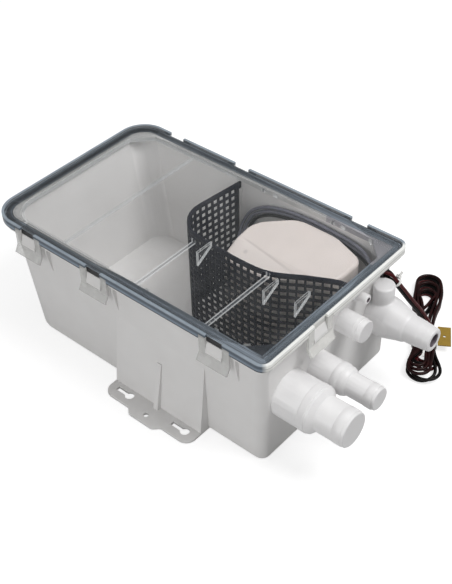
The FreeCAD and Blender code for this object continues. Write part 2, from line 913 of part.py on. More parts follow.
def make_small_spigot():
    wall = c.port_wall
    inside = -c.tub_wall
    tail = c.small_tail
    profile = [
        (inside - c.port_flange, tail - wall),
        (inside - c.port_flange, tail + 1.7),
        (inside, tail + 1.7),
        (inside, tail + c.port_root),
        (0, tail + c.port_root),
        (0, tail),
        (c.small_reach - 5, tail),
        (c.small_reach - 4.7, tail - c.port_line),
        (c.small_reach - 0.6, tail - c.port_line),
        (c.small_reach, tail - 1),
        (c.small_reach, 0),
        (c.small_reach - wall, 0),
        (c.small_reach - wall, tail - wall),
    ]
    return place(turned("inlet_spigot_small", profile), end_x, c.small_y, c.small_z)


def make_vent():
    profile = [
        (-c.tub_wall, c.vent_bore),
        (-c.tub_wall, c.vent_tail),
        (0, c.vent_tail),
        (0, c.vent_collar),
        (1.6, c.vent_collar),
        (1.6, c.vent_collar - 0.9),
        (2.4, c.vent_collar - 0.9),
        (2.4, c.vent_collar),
        (4, c.vent_collar),
        (4.6, c.vent_tail),
        (c.vent_reach - 3, c.vent_tail),
        (c.vent_reach - 2.6, c.vent_tail + 0.5),
        (c.vent_reach, c.vent_tail - 0.5),
        (c.vent_reach, c.vent_bore),
    ]
    return place(turned("vent_nipple", profile), end_x, c.vent_y, c.vent_z)


# Outlet check valve, drawn with x = 0 on the wall's outer face
def make_valve():
    inside = -c.tub_wall
    stub = c.pipe_bore + c.pipe_wall
    neck_end = inside - c.nut_thick - 0.5
    stub_end = c.elbow_end_x + 1 - end_x
    flat = c.seal_thick
    bulb_low = flat + c.valve_collar_thick
    profile = [
        (stub_end, c.pipe_bore),
        (stub_end, stub),
        (neck_end, stub),
        (neck_end, c.valve_neck),
        (flat, c.valve_neck),
        (flat, c.valve_collar),
        (bulb_low, c.valve_collar),
        (bulb_low + 3, c.valve_bulb, 3),
        (c.valve_mid + 5, c.valve_bulb, 8),
        (c.valve_mid + 11, c.valve_step, 5),
        (c.valve_step_end - 1, c.valve_step),
        (c.valve_step_end, c.valve_tail),
        (c.valve_reach - 5, c.valve_tail),
        (c.valve_reach - 4.7, c.valve_tail - c.port_line),
        (c.valve_reach - 0.6, c.valve_tail - c.port_line),
        (c.valve_reach, c.valve_tail - 1),
        (c.valve_reach, c.valve_bore),
        (c.valve_mid + 9.5, c.valve_bore),
        (c.valve_mid + 4.5, c.valve_chamber, 2),
        (c.valve_seat, c.valve_chamber),
        (c.valve_seat, c.valve_bore),
        (0, c.valve_bore),
        (inside, c.pipe_bore),
    ]
    body = turned("outlet_valve_body", profile)
    bonnet = circles(body, "XY", [(c.valve_mid, 0, c.valve_bonnet)], c.valve_chamber + 1, "BonnetCircle")
    bonnet_top = c.valve_cap_high - c.valve_cap_wall
    pad(body, bonnet, bonnet_top - c.valve_chamber - 1, name="Bonnet")
    well = circles(body, "XY", [(c.valve_mid, 0, c.valve_bonnet - 2)], bonnet_top + 1, "BonnetBore")
    pocket(body, well, bonnet_top + 1 - c.valve_chamber / 2, name="Well")
    pin_x = c.valve_seat + c.flap_gap + c.flap_lug
    pin_hole = circles(body, "XZ", [(pin_x, c.flap_pin_height, c.flap_pin)], 0, "PinHole")
    pocket(body, pin_hole, c.flap_pin_length, middle=True, name="PinHole")
    place(body, end_x, c.outlet_y, c.outlet_z)

    cap = turned(
        "valve_cap",
        [
            (0, c.valve_cap_high - c.valve_cap_wall),
            (c.valve_bonnet, c.valve_cap_high - c.valve_cap_wall),
            (c.valve_bonnet, c.valve_cap_low),
            (c.valve_cap, c.valve_cap_low),
            (c.valve_cap, c.valve_cap_high, 1.2),
            (0, c.valve_cap_high),
        ],
        upright=True,
    )
    place(cap, end_x + c.valve_mid, c.outlet_y, c.outlet_z)
    along_x(
        "valve_seal", c.valve_collar, c.valve_neck + c.bond_gap, end_x, end_x + c.seal_thick, c.outlet_y, c.outlet_z
    )
    make_lock_nut()
    make_flap(pin_x)


def make_lock_nut():
    prism = doc.addObject("Part::Prism", "valve_lock_nut_blank")
    prism.Polygon = 6
    bind(prism, "Circumradius", c.nut_radius)
    bind(prism, "Height", c.nut_thick)
    place(prism, inner_end_x - c.nut_thick, c.outlet_y, c.outlet_z, (0, 1, 0), 90)
    hole = cylinder(
        "valve_lock_nut_hole", c.valve_neck + c.bond_gap / 2, c.nut_thick, inner_end_x - c.nut_thick, c.outlet_y,
        c.outlet_z, (0, 1, 0), 90,
    )
    cut("valve_lock_nut", prism, hole)


def make_flap(pin_x):
    """Disc on a lug that swings on the pin, closed against the seat at rest."""
    body = new_body("check_flap")
    face = c.valve_seat + c.flap_gap
    pad(body, circles(body, "YZ", [(0, 0, c.flap_radius)], face, "DiscCircle"), c.flap_thick, name="Disc")
    arm = rectangle(-1.5, 0, 1.5, c.flap_pin_height - c.flap_lug / 2)
    pad(body, outline(body, "YZ", [arm], face, "ArmOutline"), c.flap_thick, name="Arm")
    lug = circles(body, "XZ", [(pin_x, c.flap_pin_height, c.flap_lug)], 0, "LugCircle")
    pad(body, lug, c.flap_lug_width, middle=True, name="Lug")
    eye = circles(body, "XZ", [(pin_x, c.flap_pin_height, c.flap_pin + c.pin_clear)], 0, "EyeCircle")
    pocket(body, eye, c.flap_lug_width + 1, middle=True, name="Eye")
    place(body, end_x, c.outlet_y, c.outlet_z)
    cylinder(
        "flap_pin", c.flap_pin, c.flap_pin_length, end_x + pin_x, c.outlet_y + c.flap_pin_length / 2,
        c.outlet_z + c.flap_pin_height, (1, 0, 0), 90,
    )


# Pump outline in plan, with corner radii
COVER_CORNERS = [
    (25.0, 3.0, 9.0),
    (66.0, 3.0, 45.0),
    (119.0, 31.0, 16.0),
    (119.0, 64.0, 12.0),
    (86.0, 76.0, 40.0),
    (47.0, 76.0, 24.0),
    (20.0, 49.0, 24.0),
]


def cover_line(label, inset):
    """The pump's outline drawn in by an inset."""
    source = doc.addObject("Sketcher::SketchObject", label + "_outline")
    add_loop(source, COVER_CORNERS)
    ring = doc.addObject("Part::Offset2D", label + "_line")
    ring.Source = source
    bind(ring, "Value", -as_size(inset))
    return ring


def cover_slab(label, inset, low, high):
    slab = doc.addObject("Part::Extrusion", label)
    if inset is None:
        source = doc.addObject("Sketcher::SketchObject", label + "_outline")
        add_loop(source, COVER_CORNERS)
    else:
        source = cover_line(label, inset)
    slab.Base = source
    slab.DirMode = "Custom"
    slab.Dir = V(0, 0, 1)
    slab.Solid = True
    bind(slab, "LengthFwd", as_size(high) - low)
    return place(slab, 0, 0, low)


base_low = c.tub_floor
base_ledge = base_low + c.base_height
volute_low = base_ledge + c.base_plug
room_low = volute_low + c.volute_wall
room_high = room_low + c.volute_room
volute_high = room_high + c.volute_wall
pipe_z = (room_low + room_high) / 2
room_y = c.outlet_y + c.pipe_bore - c.volute_radius
motor_low = volute_high
can_low = motor_low + c.motor_plate
can_high = can_low + c.motor_length
pipe_outer = c.pipe_bore + c.pipe_wall


def make_pump_cover():
    body = new_body("cover_blank")
    loop = [(as_size(x), as_size(y), as_size(radius)) for x, y, radius in COVER_CORNERS]
    pad(body, outline(body, "XY", [loop], base_ledge, "CoverOutline"), c.cover_top - base_ledge, name="Blank")
    doc.recompute()
    wedge = [
        (c.crease_y, c.cover_top),
        (-5, c.cover_top - c.crease_fall * (c.crease_y + 5) / c.crease_y),
        (-5, c.cover_top + 5),
        (c.crease_y, c.cover_top + 5),
    ]
    cutting = pocket(body, outline(body, "YZ", [wedge], 0, "SlopeOutline"), 400, middle=True, name="Slope")
    doc.recompute()
    low_top = float(c.cover_top) - float(c.crease_fall) - 1
    top_edges = [
        "Edge%d" % (index + 1)
        for index, edge in enumerate(cutting.Shape.Edges)
        if edge.BoundBox.ZMin > low_top
    ]
    rounding = body.newObject("PartDesign::Fillet", "TopRound")
    rounding.Base = (cutting, top_edges)
    bind(rounding, "Radius", c.cover_round)

    room = cover_slab("cover_room", c.cover_wall, base_ledge - 1, c.cover_top - c.crease_fall - c.cover_wall)
    pipe_way = cylinder(
        "cover_pipe_way", pipe_outer + 0.4, 30, c.riser_x, c.outlet_y, c.outlet_z, (0, 1, 0), 90
    )
    lead_way = cylinder("cover_lead_way", 5.4, 12, 16, 46, 24, (0, 1, 0), 90)
    cut("pump_cover", body, fuse("cover_voids", [room, pipe_way, lead_way]))


def make_pump_base():
    skirt = cover_slab("base_skirt", None, base_low, base_ledge)
    plug = cover_slab("base_plug", c.cover_wall + 0.1, base_ledge - 1, volute_low)
    room = cover_slab("base_room", c.base_wall, base_low - 1, base_ledge - 0.5)
    eye = cylinder("base_eye", c.inlet_eye, 8, c.pump_x, c.pump_y, base_low)
    slots = []
    first = 34.0
    for number in range(11):
        slots.append(
            box(
                "base_slot_%d" % number, c.intake_width, 100, c.intake_height, c.intake_pitch * number + first, -10,
                base_low + 1,
            )
        )
    blank = fuse("base_blank", [skirt, plug])
    cut("pump_base", blank, fuse("base_voids", [room, eye] + slots))


def make_volute():
    outside = cylinder(
        "volute_outside", c.volute_radius + c.volute_wall, volute_high - volute_low, c.pump_x, room_y, volute_low
    )
    stub = cylinder(
        "volute_stub", pipe_outer, c.stub_x - c.pump_x, c.pump_x, c.outlet_y, pipe_z, (0, 1, 0), 90
    )
    room = cylinder("volute_room", c.volute_radius, c.volute_room, c.pump_x, room_y, room_low)
    bore = cylinder(
        "volute_bore", c.pipe_bore, c.stub_x - c.pump_x, c.pump_x, c.outlet_y, pipe_z, (0, 1, 0), 90
    )
    eye = cylinder("volute_eye", c.inlet_eye, c.volute_wall * 2, c.pump_x, c.pump_y, volute_low - 1)
    seal_way = cylinder("volute_seal_way", c.seal_radius, 8, c.pump_x, c.pump_y, room_high - 1)
    holes = [
        cylinder("volute_screw_%d" % number, c.screw_radius, 8, x, y, volute_high - c.volute_wall + 0.1)
        for number, (x, y) in enumerate(screw_spots())
    ]
    flange = cylinder(
        "volute_flange", c.motor_plate_radius, c.volute_wall * 2, c.pump_x, c.pump_y, volute_high - c.volute_wall * 2
    )
    blank = fuse("volute_blank", [outside, stub, flange])
    cut("volute", blank, fuse("volute_voids", [room, bore, eye, seal_way] + holes))


def screw_spots():
    """Three motor screws, evenly round the pump's axis."""
    spots = []
    for number in range(3):
        angle = math.radians(number * 120 + 95)
        spots.append((c.pump_x + c.screw_circle * math.cos(angle), c.pump_y + c.screw_circle * math.sin(angle)))
    return spots


def make_elbow():
    """Pipe from the volute up to the outlet's height."""
    body = new_body("discharge_elbow")
    path = flat_sketch(body, "XZ", -c.outlet_y, "PipePath")
    points = [
        (c.stub_x, pipe_z),
        (c.riser_x, pipe_z),
        (c.riser_x, c.outlet_z),
        (c.elbow_end_x, c.outlet_z),
    ]
    bend = c.pipe_bend
    corners = [V(float(u), float(v), 0) for u, v in points]
    size = float(bend)
    ends = [
        corners[0],
        corners[1] - V(size, 0, 0),
        corners[1] + V(0, size, 0),
        corners[2] - V(0, size, 0),
        corners[2] + V(size, 0, 0),
        corners[3],
    ]
    runs = [path.addGeometry(Part.LineSegment(ends[k], ends[k + 1]), False) for k in (0, 2, 4)]
    first = Part.Circle(corners[1] + V(-size, size, 0), V(0, 0, 1), size)
    second = Part.Circle(corners[2] + V(size, -size, 0), V(0, 0, 1), size)
    low_arc = path.addGeometry(Part.ArcOfCircle(first, -math.pi / 2, 0), False)
    high_arc = path.addGeometry(Part.ArcOfCircle(second, math.pi / 2, math.pi), False)
    add_pin(path, runs[0], 1, *points[0])
    add_pin(path, runs[2], 2, *points[3])
    path.addConstraint(Sketcher.Constraint("Horizontal", runs[0]))
    path.addConstraint(Sketcher.Constraint("Vertical", runs[1]))
    path.addConstraint(Sketcher.Constraint("Horizontal", runs[2]))
    path.addConstraint(Sketcher.Constraint("Tangent", runs[0], 2, low_arc, 1))
    path.addConstraint(Sketcher.Constraint("Tangent", low_arc, 2, runs[1], 1))
    path.addConstraint(Sketcher.Constraint("Tangent", runs[1], 2, high_arc, 2))
    path.addConstraint(Sketcher.Constraint("Tangent", high_arc, 1, runs[2], 1))
    add_radius(path, low_arc, bend)
    add_radius(path, high_arc, bend)
    riser = c.riser_x
    index = path.addConstraint(Sketcher.Constraint("DistanceX", -1, 1, runs[1], 1, riser.number))
    path.setExpression("Constraints[%d]" % index, riser.text)
    ring = circles(
        body,
        "YZ",
        [(c.outlet_y, pipe_z, pipe_outer), (c.outlet_y, pipe_z, c.pipe_bore)],
        c.stub_x,
        "PipeSection",
    )
    sweep = body.newObject("PartDesign::AdditivePipe", "Pipe")
    sweep.Profile = ring
    sweep.Spine = path
    return body


def make_motor():
    x = c.pump_x
    y = c.pump_y
    along_x(
        "elbow_sleeve", pipe_outer + c.sleeve_wall, pipe_outer, c.elbow_end_x + 0.5 - c.sleeve_length / 2,
        c.elbow_end_x + 0.5 + c.sleeve_length / 2, c.outlet_y, c.outlet_z,
    )
    bore = c.shaft_radius + c.running_clear
    lower_seat = can_low + c.bush_length
    upper_seat = can_high - c.motor_wall - c.bush_length
    can = turned(
        "motor_can",
        [
            (bore + 1, motor_low),
            (c.motor_plate_radius, motor_low),
            (c.motor_plate_radius, can_low),
            (c.motor_radius, can_low),
            (c.motor_radius, can_high, 1.5),
            (0, can_high),
            (0, can_high - c.motor_wall),
            (c.bush_radius, can_high - c.motor_wall),
            (c.bush_radius, upper_seat),
            (c.bush_radius + 1, upper_seat),
            (c.bush_radius + 1, can_high - c.motor_wall),
            (c.motor_radius - c.motor_wall, can_high - c.motor_wall),
            (c.motor_radius - c.motor_wall, can_low),
            (c.bush_radius + 1, can_low),
            (c.bush_radius + 1, lower_seat),
            (c.bush_radius, lower_seat),
            (c.bush_radius, can_low),
            (bore + 1, can_low),
        ],
        upright=True,
    )
    place(can, x, y, 0)
    holes = [
        cylinder("motor_screw_way_%d" % number, c.screw_radius + 0.1, 8, u, v, motor_low - 2)
        for number, (u, v) in enumerate(screw_spots())
    ]
    can.Label = "motor_can_blank"
    cut("motor_can", can, fuse("motor_screw_ways", holes))
    upright_tube("lower_bush", c.bush_radius, bore, can_low, lower_seat, x, y)
    upright_tube("upper_bush", c.bush_radius, bore, upper_seat, can_high - c.motor_wall, x, y)
    upright_tube("shaft_seal", c.seal_radius, bore, room_high, motor_low, x, y)
    make_magnets(x, y)
    shaft_low = room_low + c.impeller_gap
    shaft_high = can_high - c.motor_wall - 0.5
    cylinder("rotor_shaft", c.shaft_radius, shaft_high - shaft_low, x, y, shaft_low)
    middle = (lower_seat + upper_seat) / 2
    upright_tube(
        "armature", c.armature_radius, c.shaft_radius, middle - c.armature_length / 2,
        middle + c.armature_length / 2, x, y,
    )
    make_impeller(x, y, shaft_low)
    screws = []
    for number, (u, v) in enumerate(screw_spots()):
        screws.append(cylinder("screw_shank_%d" % number, c.screw_radius, 3.8, u, v, can_low - 3.8))
        screws.append(cylinder("screw_head_%d" % number, c.screw_head, 1.6, u, v, can_low))
    fuse("motor_screws", screws)


def make_magnets(x, y):
    outer = c.motor_radius - c.motor_wall
    middle = (can_low + can_high) / 2
    ring = upright_tube(
        "magnet_ring", outer, outer - c.magnet_thick, middle - c.magnet_length / 2, middle + c.magnet_length / 2, x, y
    )
    gap = box(
        "magnet_gap", 10, c.motor_radius * 2 + 4, c.magnet_length + 2, x - 5, y - c.motor_radius - 2,
        middle - c.magnet_length / 2 - 1,
    )
    cut("motor_magnets", ring, gap)


def make_impeller(x, y, low):
    disc_low = low + c.vane_height
    disc = cylinder("impeller_disc", c.impeller_radius, c.impeller_disc, x, y, disc_low)
    hub = cylinder("impeller_hub", c.hub_radius, c.vane_height + c.impeller_disc, x, y, low)
    vanes = []
    for number in range(6):
        vane = doc.addObject("Part::Box", "impeller_vane_%d" % number)
        bind(vane, "Length", c.impeller_radius - c.hub_radius)
        bind(vane, "Width", c.vane_thick)
        bind(vane, "Height", c.vane_height + 0.5)
        angle = number * 60
        away = c.hub_radius - 1
        place(
            vane, x + away * math.cos(math.radians(angle)), y + away * math.sin(math.radians(angle)), low,
            (0, 0, 1), angle - 18,
        )
        vanes.append(vane)
    blank = fuse("impeller_blank", [disc, hub] + vanes)
    limit = cylinder("impeller_limit", c.impeller_radius, c.vane_height + c.impeller_disc, x, y, low)
    trimmed = doc.addObject("Part::Common", "impeller_trim")
    trimmed.Base = blank
    trimmed.Tool = limit
    bore = cylinder("impeller_bore", c.shaft_radius, 20, x, y, low - 5)
    cut("impeller", trimmed, bore)


def make_float():
    """Float block on an arm below its switch, at the end away from the pipes."""
    x = c.float_pin_x
    z = c.float_pin_z
    y = c.float_y
    half = c.float_width / 2
    block = box(
        "float_block", c.float_length, c.float_width, c.float_height, x - c.float_length - 3.5, y - half,
        z - c.float_height - 2,
    )
    arm = box("float_arm", 8, 6, 4, x - 8, y - 3, z - 4)
    riser = box("float_riser", 4, 6, 6, x - 8, y - 3, z - 6)
    lug = cylinder("float_lug", c.float_pin * 2.2, 6, x, y + 3, z, (1, 0, 0), 90)
    eye = cylinder("float_eye", c.float_pin + c.pin_clear, 10, x, y + 5, z, (1, 0, 0), 90)
    cut("float_block_arm", fuse("float_blank", [block, arm, riser, lug]), eye).Label = "switch_float"
    cylinder("float_pin", c.float_pin, 20, x, y + 10, z, (1, 0, 0), 90)
    case = box("switch_case", 22, 14, c.switch_height, x - 16, y - 7, z + 12)
    ears = [
        box("switch_ear_near", 6, 3, 20, x - 3, y - 10, z - 4),
        box("switch_ear_far", 6, 3, 20, x - 3, y + 7, z - 4),
    ]
    eye = cylinder("switch_eye", c.float_pin, 30, x, y + 15, z, (1, 0, 0), 90)
    plinth = box("switch_plinth", 6, 20, 4, x - 3, y - 10, volute_low)
    post_near = box("switch_post_near", 6, 3, z - volute_low, x - 3, y - 10, volute_low)
    post_far = box("switch_post_far", 6, 3, z - volute_low, x - 3, y + 7, volute_low)
    cut("float_switch", fuse("switch_blank", [case, plinth, post_near, post_far] + ears), eye)


# Leads: routes through their corners, chosen by hand
INNER_ROUTE = [
    (24.0, 46.0, 24.0),
    (9.0, 46.5, 25.0),
    (-4.0, 56.0, 34.0),
    (-10.0, 68.0, 48.0),
    (-10.5, 75.5, 64.0),
    (-4.0, 77.6, 78.0),
    (10.0, 78.1, 88.0),
    (29.0, 78.3, 94.0),
    (52.0, 78.4, 96.5),
    (78.0, 78.3, 96.0),
    (98.0, 78.2, 94.5),
    (113.0, 75.5, 93.0),
    (124.0, 69.2, 92.0),
    (135.2, 69.2, 92.0),
]
OUTER_ROUTE = [
    (135.2, 69.2, 92.0),
    (144.0, 69.2, 92.0),
    (151.0, 73.5, 88.0),
    (153.0, 81.0, 78.0),
    (150.5, 91.0, 61.0),
    (148.5, 99.0, 43.0),
    (148.5, 106.0, 26.5),
    (151.5, 110.5, 15.0),
    (157.5, 112.3, 8.0),
]
LEAD_NAMES = ("black", "brown", "striped")
OUTER_HINT = V(0, 0.25, 1)


def grommet_shift(number):
    """The three leads sit in a triangle inside the grommet."""
    angle = math.radians((225, 345, 105)[number])
    return V(0, math.cos(angle), math.sin(angle)) * float(c.lead_spread)


def fanned(route, number, flat_to, across):
    """One lead's route: beside its neighbours, and in the triangle at the grommet."""
    points = [V(*spot) for spot in route]
    result = []
    for index, point in enumerate(points):
        before = points[max(index - 1, 0)]
        after = points[min(index + 1, len(points) - 1)]
        along = (after - before).normalize()
        if index in flat_to:
            shift = grommet_shift(number)
            result.append(point + shift - V(1, 0, 0) * (shift.dot(along) / along.x))
            continue
        side = across(along)
        side = (side - along * side.dot(along)).normalize()
        result.append(point + side * ((number - 1) * float(c.lead_pitch)))
    return result


def tube_along(label, points):
    radii = []
    for index in range(1, len(points) - 1):
        before = points[index] - points[index - 1]
        after = points[index + 1] - points[index]
        turn = before.getAngle(after)
        radii.append(0.45 * min(before.Length, after.Length) / math.tan(turn / 2))
    path = path_through(points, radii)
    radius = float(c.lead_diameter) / 2
    start = points[0]
    along = (points[1] - points[0]).normalize()
    ring = Part.Wire(Part.Circle(start, along, radius).toShape())
    solid = path.makePipeShell([ring], True, False)
    expected = math.pi * radius * radius * path.Length
    print(label, "length %.1f" % path.Length, "volume ratio %.4f" % (solid.Volume / expected))
    print("  radii", " ".join("%.1f" % value for value in radii))
    item = doc.addObject("Part::Feature", label)
    item.Label = label
    item.Shape = solid
    return item


def make_leads():
    last = len(INNER_ROUTE) - 1
    for number, name in enumerate(LEAD_NAMES):
        inner = fanned(INNER_ROUTE, number, (last - 1, last), lambda along: along.cross(V(0, 1, 0)))
        tube_along("inner_lead_" + name, inner)
        outer = fanned(OUTER_ROUTE, number, (0, 1), lambda along: OUTER_HINT)
        tube_along("lead_" + name, outer)
    lip = c.grommet_lip
    grommet = turned(
        "lead_grommet",
        [
            (-c.tub_wall - lip, c.grommet_bore),
            (-c.tub_wall - lip, c.grommet_flange - 1),
            (-c.tub_wall, c.grommet_flange),
            (-c.tub_wall, c.grommet_neck),
            (0, c.grommet_neck),
            (0, c.grommet_flange),
            (lip, c.grommet_flange - 1),
            (lip, c.grommet_bore),
        ],
    )
    place(grommet, end_x, c.grommet_y, c.grommet_z)


HANK_CORNERS = [
    (117.0, 183.0, 10.0),
    (112.0, 168.0, 12.0),
    (119.0, 140.0, 20.0),
    (151.0, 121.0, 25.0),
    (154.0, 92.0, 25.0),
    (162.0, 62.0, 10.0),
    (188.0, 60.0, 12.0),
    (190.0, 84.0, 14.0),
    (165.0, 112.0, 30.0),
    (155.5, 147.0, 25.0),
    (137.0, 176.0, 12.0),
]


HANK_TIE = (164.2, 97.5)
HANK_TURN = 20.0
TAG_PLACE = (171.0, 119.5)
TAG_TURN = -58.0


def turned_box(label, length, width, height, middle, turn):
    """Box centred in plan on a spot and turned about Z; its own x runs along the turn."""
    item = doc.addObject("Part::Box", label)
    bind(item, "Length", length)
    bind(item, "Width", width)
    bind(item, "Height", height)
    angle = math.radians(turn)
    back_x = as_size(length) / 2 * math.cos(angle) - as_size(width) / 2 * math.sin(angle)
    back_y = as_size(length) / 2 * math.sin(angle) + as_size(width) / 2 * math.cos(angle)
    return place(item, middle[0] - back_x, middle[1] - back_y, middle[2], (0, 0, 1), turn)


def make_hank():
    """The folded length of the leads, as one solid on the floor, with a tie round it."""
    body = new_body("hank_blank")
    loop = [(as_size(x), as_size(y), as_size(radius)) for x, y, radius in HANK_CORNERS]
    sketch = outline(body, "XY", [loop], c.hank_low, "HankOutline")
    pad(body, sketch, c.hank_thick, name="Hank")
    spot_low = HANK_TIE + (0,)
    under = c.hank_low + c.tie_thick + 0.1
    groove = turned_box("hank_groove", 40, c.tie_width + 0.4, under, spot_low, HANK_TURN)
    cut("lead_hank", body, groove)
    top = c.hank_low + c.hank_thick + 0.1
    outside = turned_box(
        "hank_tie_outside", c.tie_room + c.tie_thick * 2, c.tie_width, top + c.tie_thick - c.hank_low,
        HANK_TIE + (c.hank_low,), HANK_TURN,
    )
    inside = turned_box(
        "hank_tie_inside", c.tie_room, c.tie_width + 2, top - c.hank_low - c.tie_thick,
        HANK_TIE + (c.hank_low + c.tie_thick,), HANK_TURN,
    )
    tail = turned_box("hank_tie_tail", c.tie_width, 20, c.tie_thick, (167.5, 93.5, top + 0.2), HANK_TURN - 4)
    head = turned_box("hank_tie_head", 6, 5, 5, (164.6, 101.5, top + 0.2), HANK_TURN)
    cut("hank_tie", fuse("hank_tie_blank", [outside, tail, head]), inside)
    tag = turned_box("tag_blank", c.tag_length, c.tag_width, c.tag_thick, TAG_PLACE + (6.5,), TAG_TURN)
    hole = cylinder("tag_hole", 1.2, 4, TAG_PLACE[0], TAG_PLACE[1], 5)
    cut("lead_tag", tag, hole)


def make_exit_tie():
    """Flat loop round the three leads below the grommet, square to their run."""
    start = V(*OUTER_ROUTE[3])
    finish = V(*OUTER_ROUTE[4])
    along = (finish - start).normalize()
    side = (OUTER_HINT - along * OUTER_HINT.dot(along)).normalize()
    turn = FreeCAD.Rotation(along.cross(side), side, along, "ZXY")
    thick = float(c.tie_thick)
    wide = float(c.lead_diameter) + 0.3
    tall = wide + float(c.lead_pitch) * 2
    band = float(c.tie_width)
    outside = Part.makeBox(wide + thick * 2, tall + thick * 2, band, V(-wide / 2 - thick, -tall / 2 - thick, 0))
    inside = Part.makeBox(wide, tall, band, V(-wide / 2, -tall / 2, 0))
    head = Part.makeBox(5, 5, band + 1, V(-2.5, tall / 2 + 0.2, -0.5))
    item = doc.addObject("Part::Feature", "exit_tie")
    item.Label = "exit_tie"
    item.Shape = outside.fuse(head).cut(inside)
    item.Placement = FreeCAD.Placement(start + (finish - start) * 0.4, turn)


BUILDERS = [
    make_tub, make_screen, make_lid, make_gasket, make_clips, make_small_spigot, make_vent, make_valve,
    make_pump_cover, make_pump_base, make_volute, make_elbow, make_motor, make_float, make_leads, make_hank, make_exit_tie,
]


for builder in BUILDERS:
    builder()
make_stepped_spigot(
    "inlet_spigot_large", c.large_y, c.large_z, c.large_base, c.large_tail, c.large_step, c.large_reach
)
make_stepped_spigot(
    "inlet_spigot_medium", c.medium_y, c.medium_z, c.medium_base, c.medium_tail, c.medium_step, c.medium_reach
)
doc.recompute()

NODES = [
    "tub_shell", "lid_cover", "lid_gasket", "clip_near_left", "clip_near_middle", "clip_near_right",
    "clip_far_left", "clip_far_middle", "clip_far_right", "clip_end", "inlet_spigot_large",
    "inlet_spigot_medium", "inlet_spigot_small", "vent_nipple", "outlet_valve_body", "valve_cap", "valve_seal",
    "valve_lock_nut", "check_flap", "flap_pin", "strainer_screen", "pump_cover", "pump_base", "volute",
    "discharge_elbow", "elbow_sleeve", "motor_can", "motor_magnets", "armature", "rotor_shaft", "impeller",
    "upper_bush", "lower_bush", "shaft_seal", "motor_screws", "switch_float", "float_pin", "float_switch",
    "lead_grommet", "inner_lead_black", "inner_lead_brown", "inner_lead_striped", "lead_black", "lead_brown",
    "lead_striped", "lead_hank", "hank_tie", "lead_tag", "exit_tie",
]


def check_and_export():
    failed = [item.Name for item in doc.Objects if "Invalid" in item.State or "Error" in item.State]
    if failed:
        raise RuntimeError("failed objects: " + ", ".join(failed))
    for feature in cuts:
        if feature.BaseFeature.Shape.Volume - feature.Shape.Volume < 0.5:
            raise RuntimeError("cuts nothing: " + feature.Name)
    shapes = {}
    for label in NODES:
        item = doc.getObjectsByLabel(label)[0]
        shape = item.Shape
        if shape.isNull() or not shape.isValid():
            raise RuntimeError("bad shape: " + label)
        shapes[label] = shape
    os.makedirs("parts", exist_ok=True)
    for label, shape in shapes.items():
        shape.exportStep("parts/%s.step" % label)
        print(label, len(shape.Solids), "solids", "%.0f mm3" % shape.Volume)


check_and_export()
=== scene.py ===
import bpy
import bmesh
import math
from mathutils import Matrix, Vector


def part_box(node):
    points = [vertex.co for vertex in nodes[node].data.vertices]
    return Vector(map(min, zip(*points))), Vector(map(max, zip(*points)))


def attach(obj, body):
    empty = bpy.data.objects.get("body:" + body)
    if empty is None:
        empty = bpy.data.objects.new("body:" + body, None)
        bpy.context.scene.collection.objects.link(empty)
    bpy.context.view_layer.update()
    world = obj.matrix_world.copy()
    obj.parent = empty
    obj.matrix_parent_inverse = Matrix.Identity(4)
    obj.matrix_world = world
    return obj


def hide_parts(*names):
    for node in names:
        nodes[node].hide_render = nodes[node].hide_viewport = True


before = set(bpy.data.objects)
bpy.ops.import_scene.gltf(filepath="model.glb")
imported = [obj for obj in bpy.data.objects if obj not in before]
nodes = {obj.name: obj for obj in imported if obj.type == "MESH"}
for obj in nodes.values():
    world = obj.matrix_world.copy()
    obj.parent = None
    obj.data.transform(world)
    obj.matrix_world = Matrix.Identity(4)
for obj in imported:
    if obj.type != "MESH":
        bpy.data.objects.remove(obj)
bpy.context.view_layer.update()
scene = bpy.context.scene
mm = 0.001
print("frame loaded,", len(nodes), "nodes")


# Camera, at the photograph's own viewpoint
cameraSet = {
    "place": (475.98, -499.9, 643.62),
    "azimuth": 41.63,
    "elevation": 41.06,
    "roll": -1.61,
    "lens": 67.07,
}


def makeCamera(spec):
    azimuth, elevation, roll = (math.radians(spec[key]) for key in ("azimuth", "elevation", "roll"))
    back = Vector((
        math.sin(azimuth) * math.cos(elevation),
        -math.cos(azimuth) * math.cos(elevation),
        math.sin(elevation),
    ))
    flat = Vector((0, 0, 1)).cross(back).normalized()
    rise = back.cross(flat)
    across = flat * math.cos(roll) + rise * math.sin(roll)
    up = rise * math.cos(roll) - flat * math.sin(roll)
    data = bpy.data.cameras.new("photoCamera")
    data.lens = spec["lens"]
    data.sensor_width = 36
    data.clip_start = 0.02
    data.clip_end = 20
    item = bpy.data.objects.new("photoCamera", data)
    scene.collection.objects.link(item)
    turn = Matrix((across, up, back)).transposed().to_4x4()
    item.matrix_world = Matrix.Translation(Vector(spec["place"]) * mm) @ turn
    scene.camera = item


makeCamera(cameraSet)
print("camera made")


# Sockets that take part in arithmetic, and materials built with them
class Wire:
    def __init__(self, tree, socket):
        self.tree = tree
        self.socket = socket

    def math(self, operation, *others):
        node = self.tree.nodes.new("ShaderNodeMath")
        node.operation = operation
        for slot, value in zip(node.inputs, others):
            if isinstance(value, Wire):
                self.tree.links.new(value.socket, slot)
            else:
                slot.default_value = value
        return Wire(self.tree, node.outputs[0])

    def __add__(self, other):
        return self.math("ADD", self, other)

    def __sub__(self, other):
        return self.math("SUBTRACT", self, other)

    def __mul__(self, other):
        return self.math("MULTIPLY", self, other)

    def __rsub__(self, other):
        return self.math("SUBTRACT", other, self)

    __radd__ = __add__
    __rmul__ = __mul__

    def __lt__(self, other):
        return self.math("LESS_THAN", self, other)

    def __gt__(self, other):
        return self.math("GREATER_THAN", self, other)


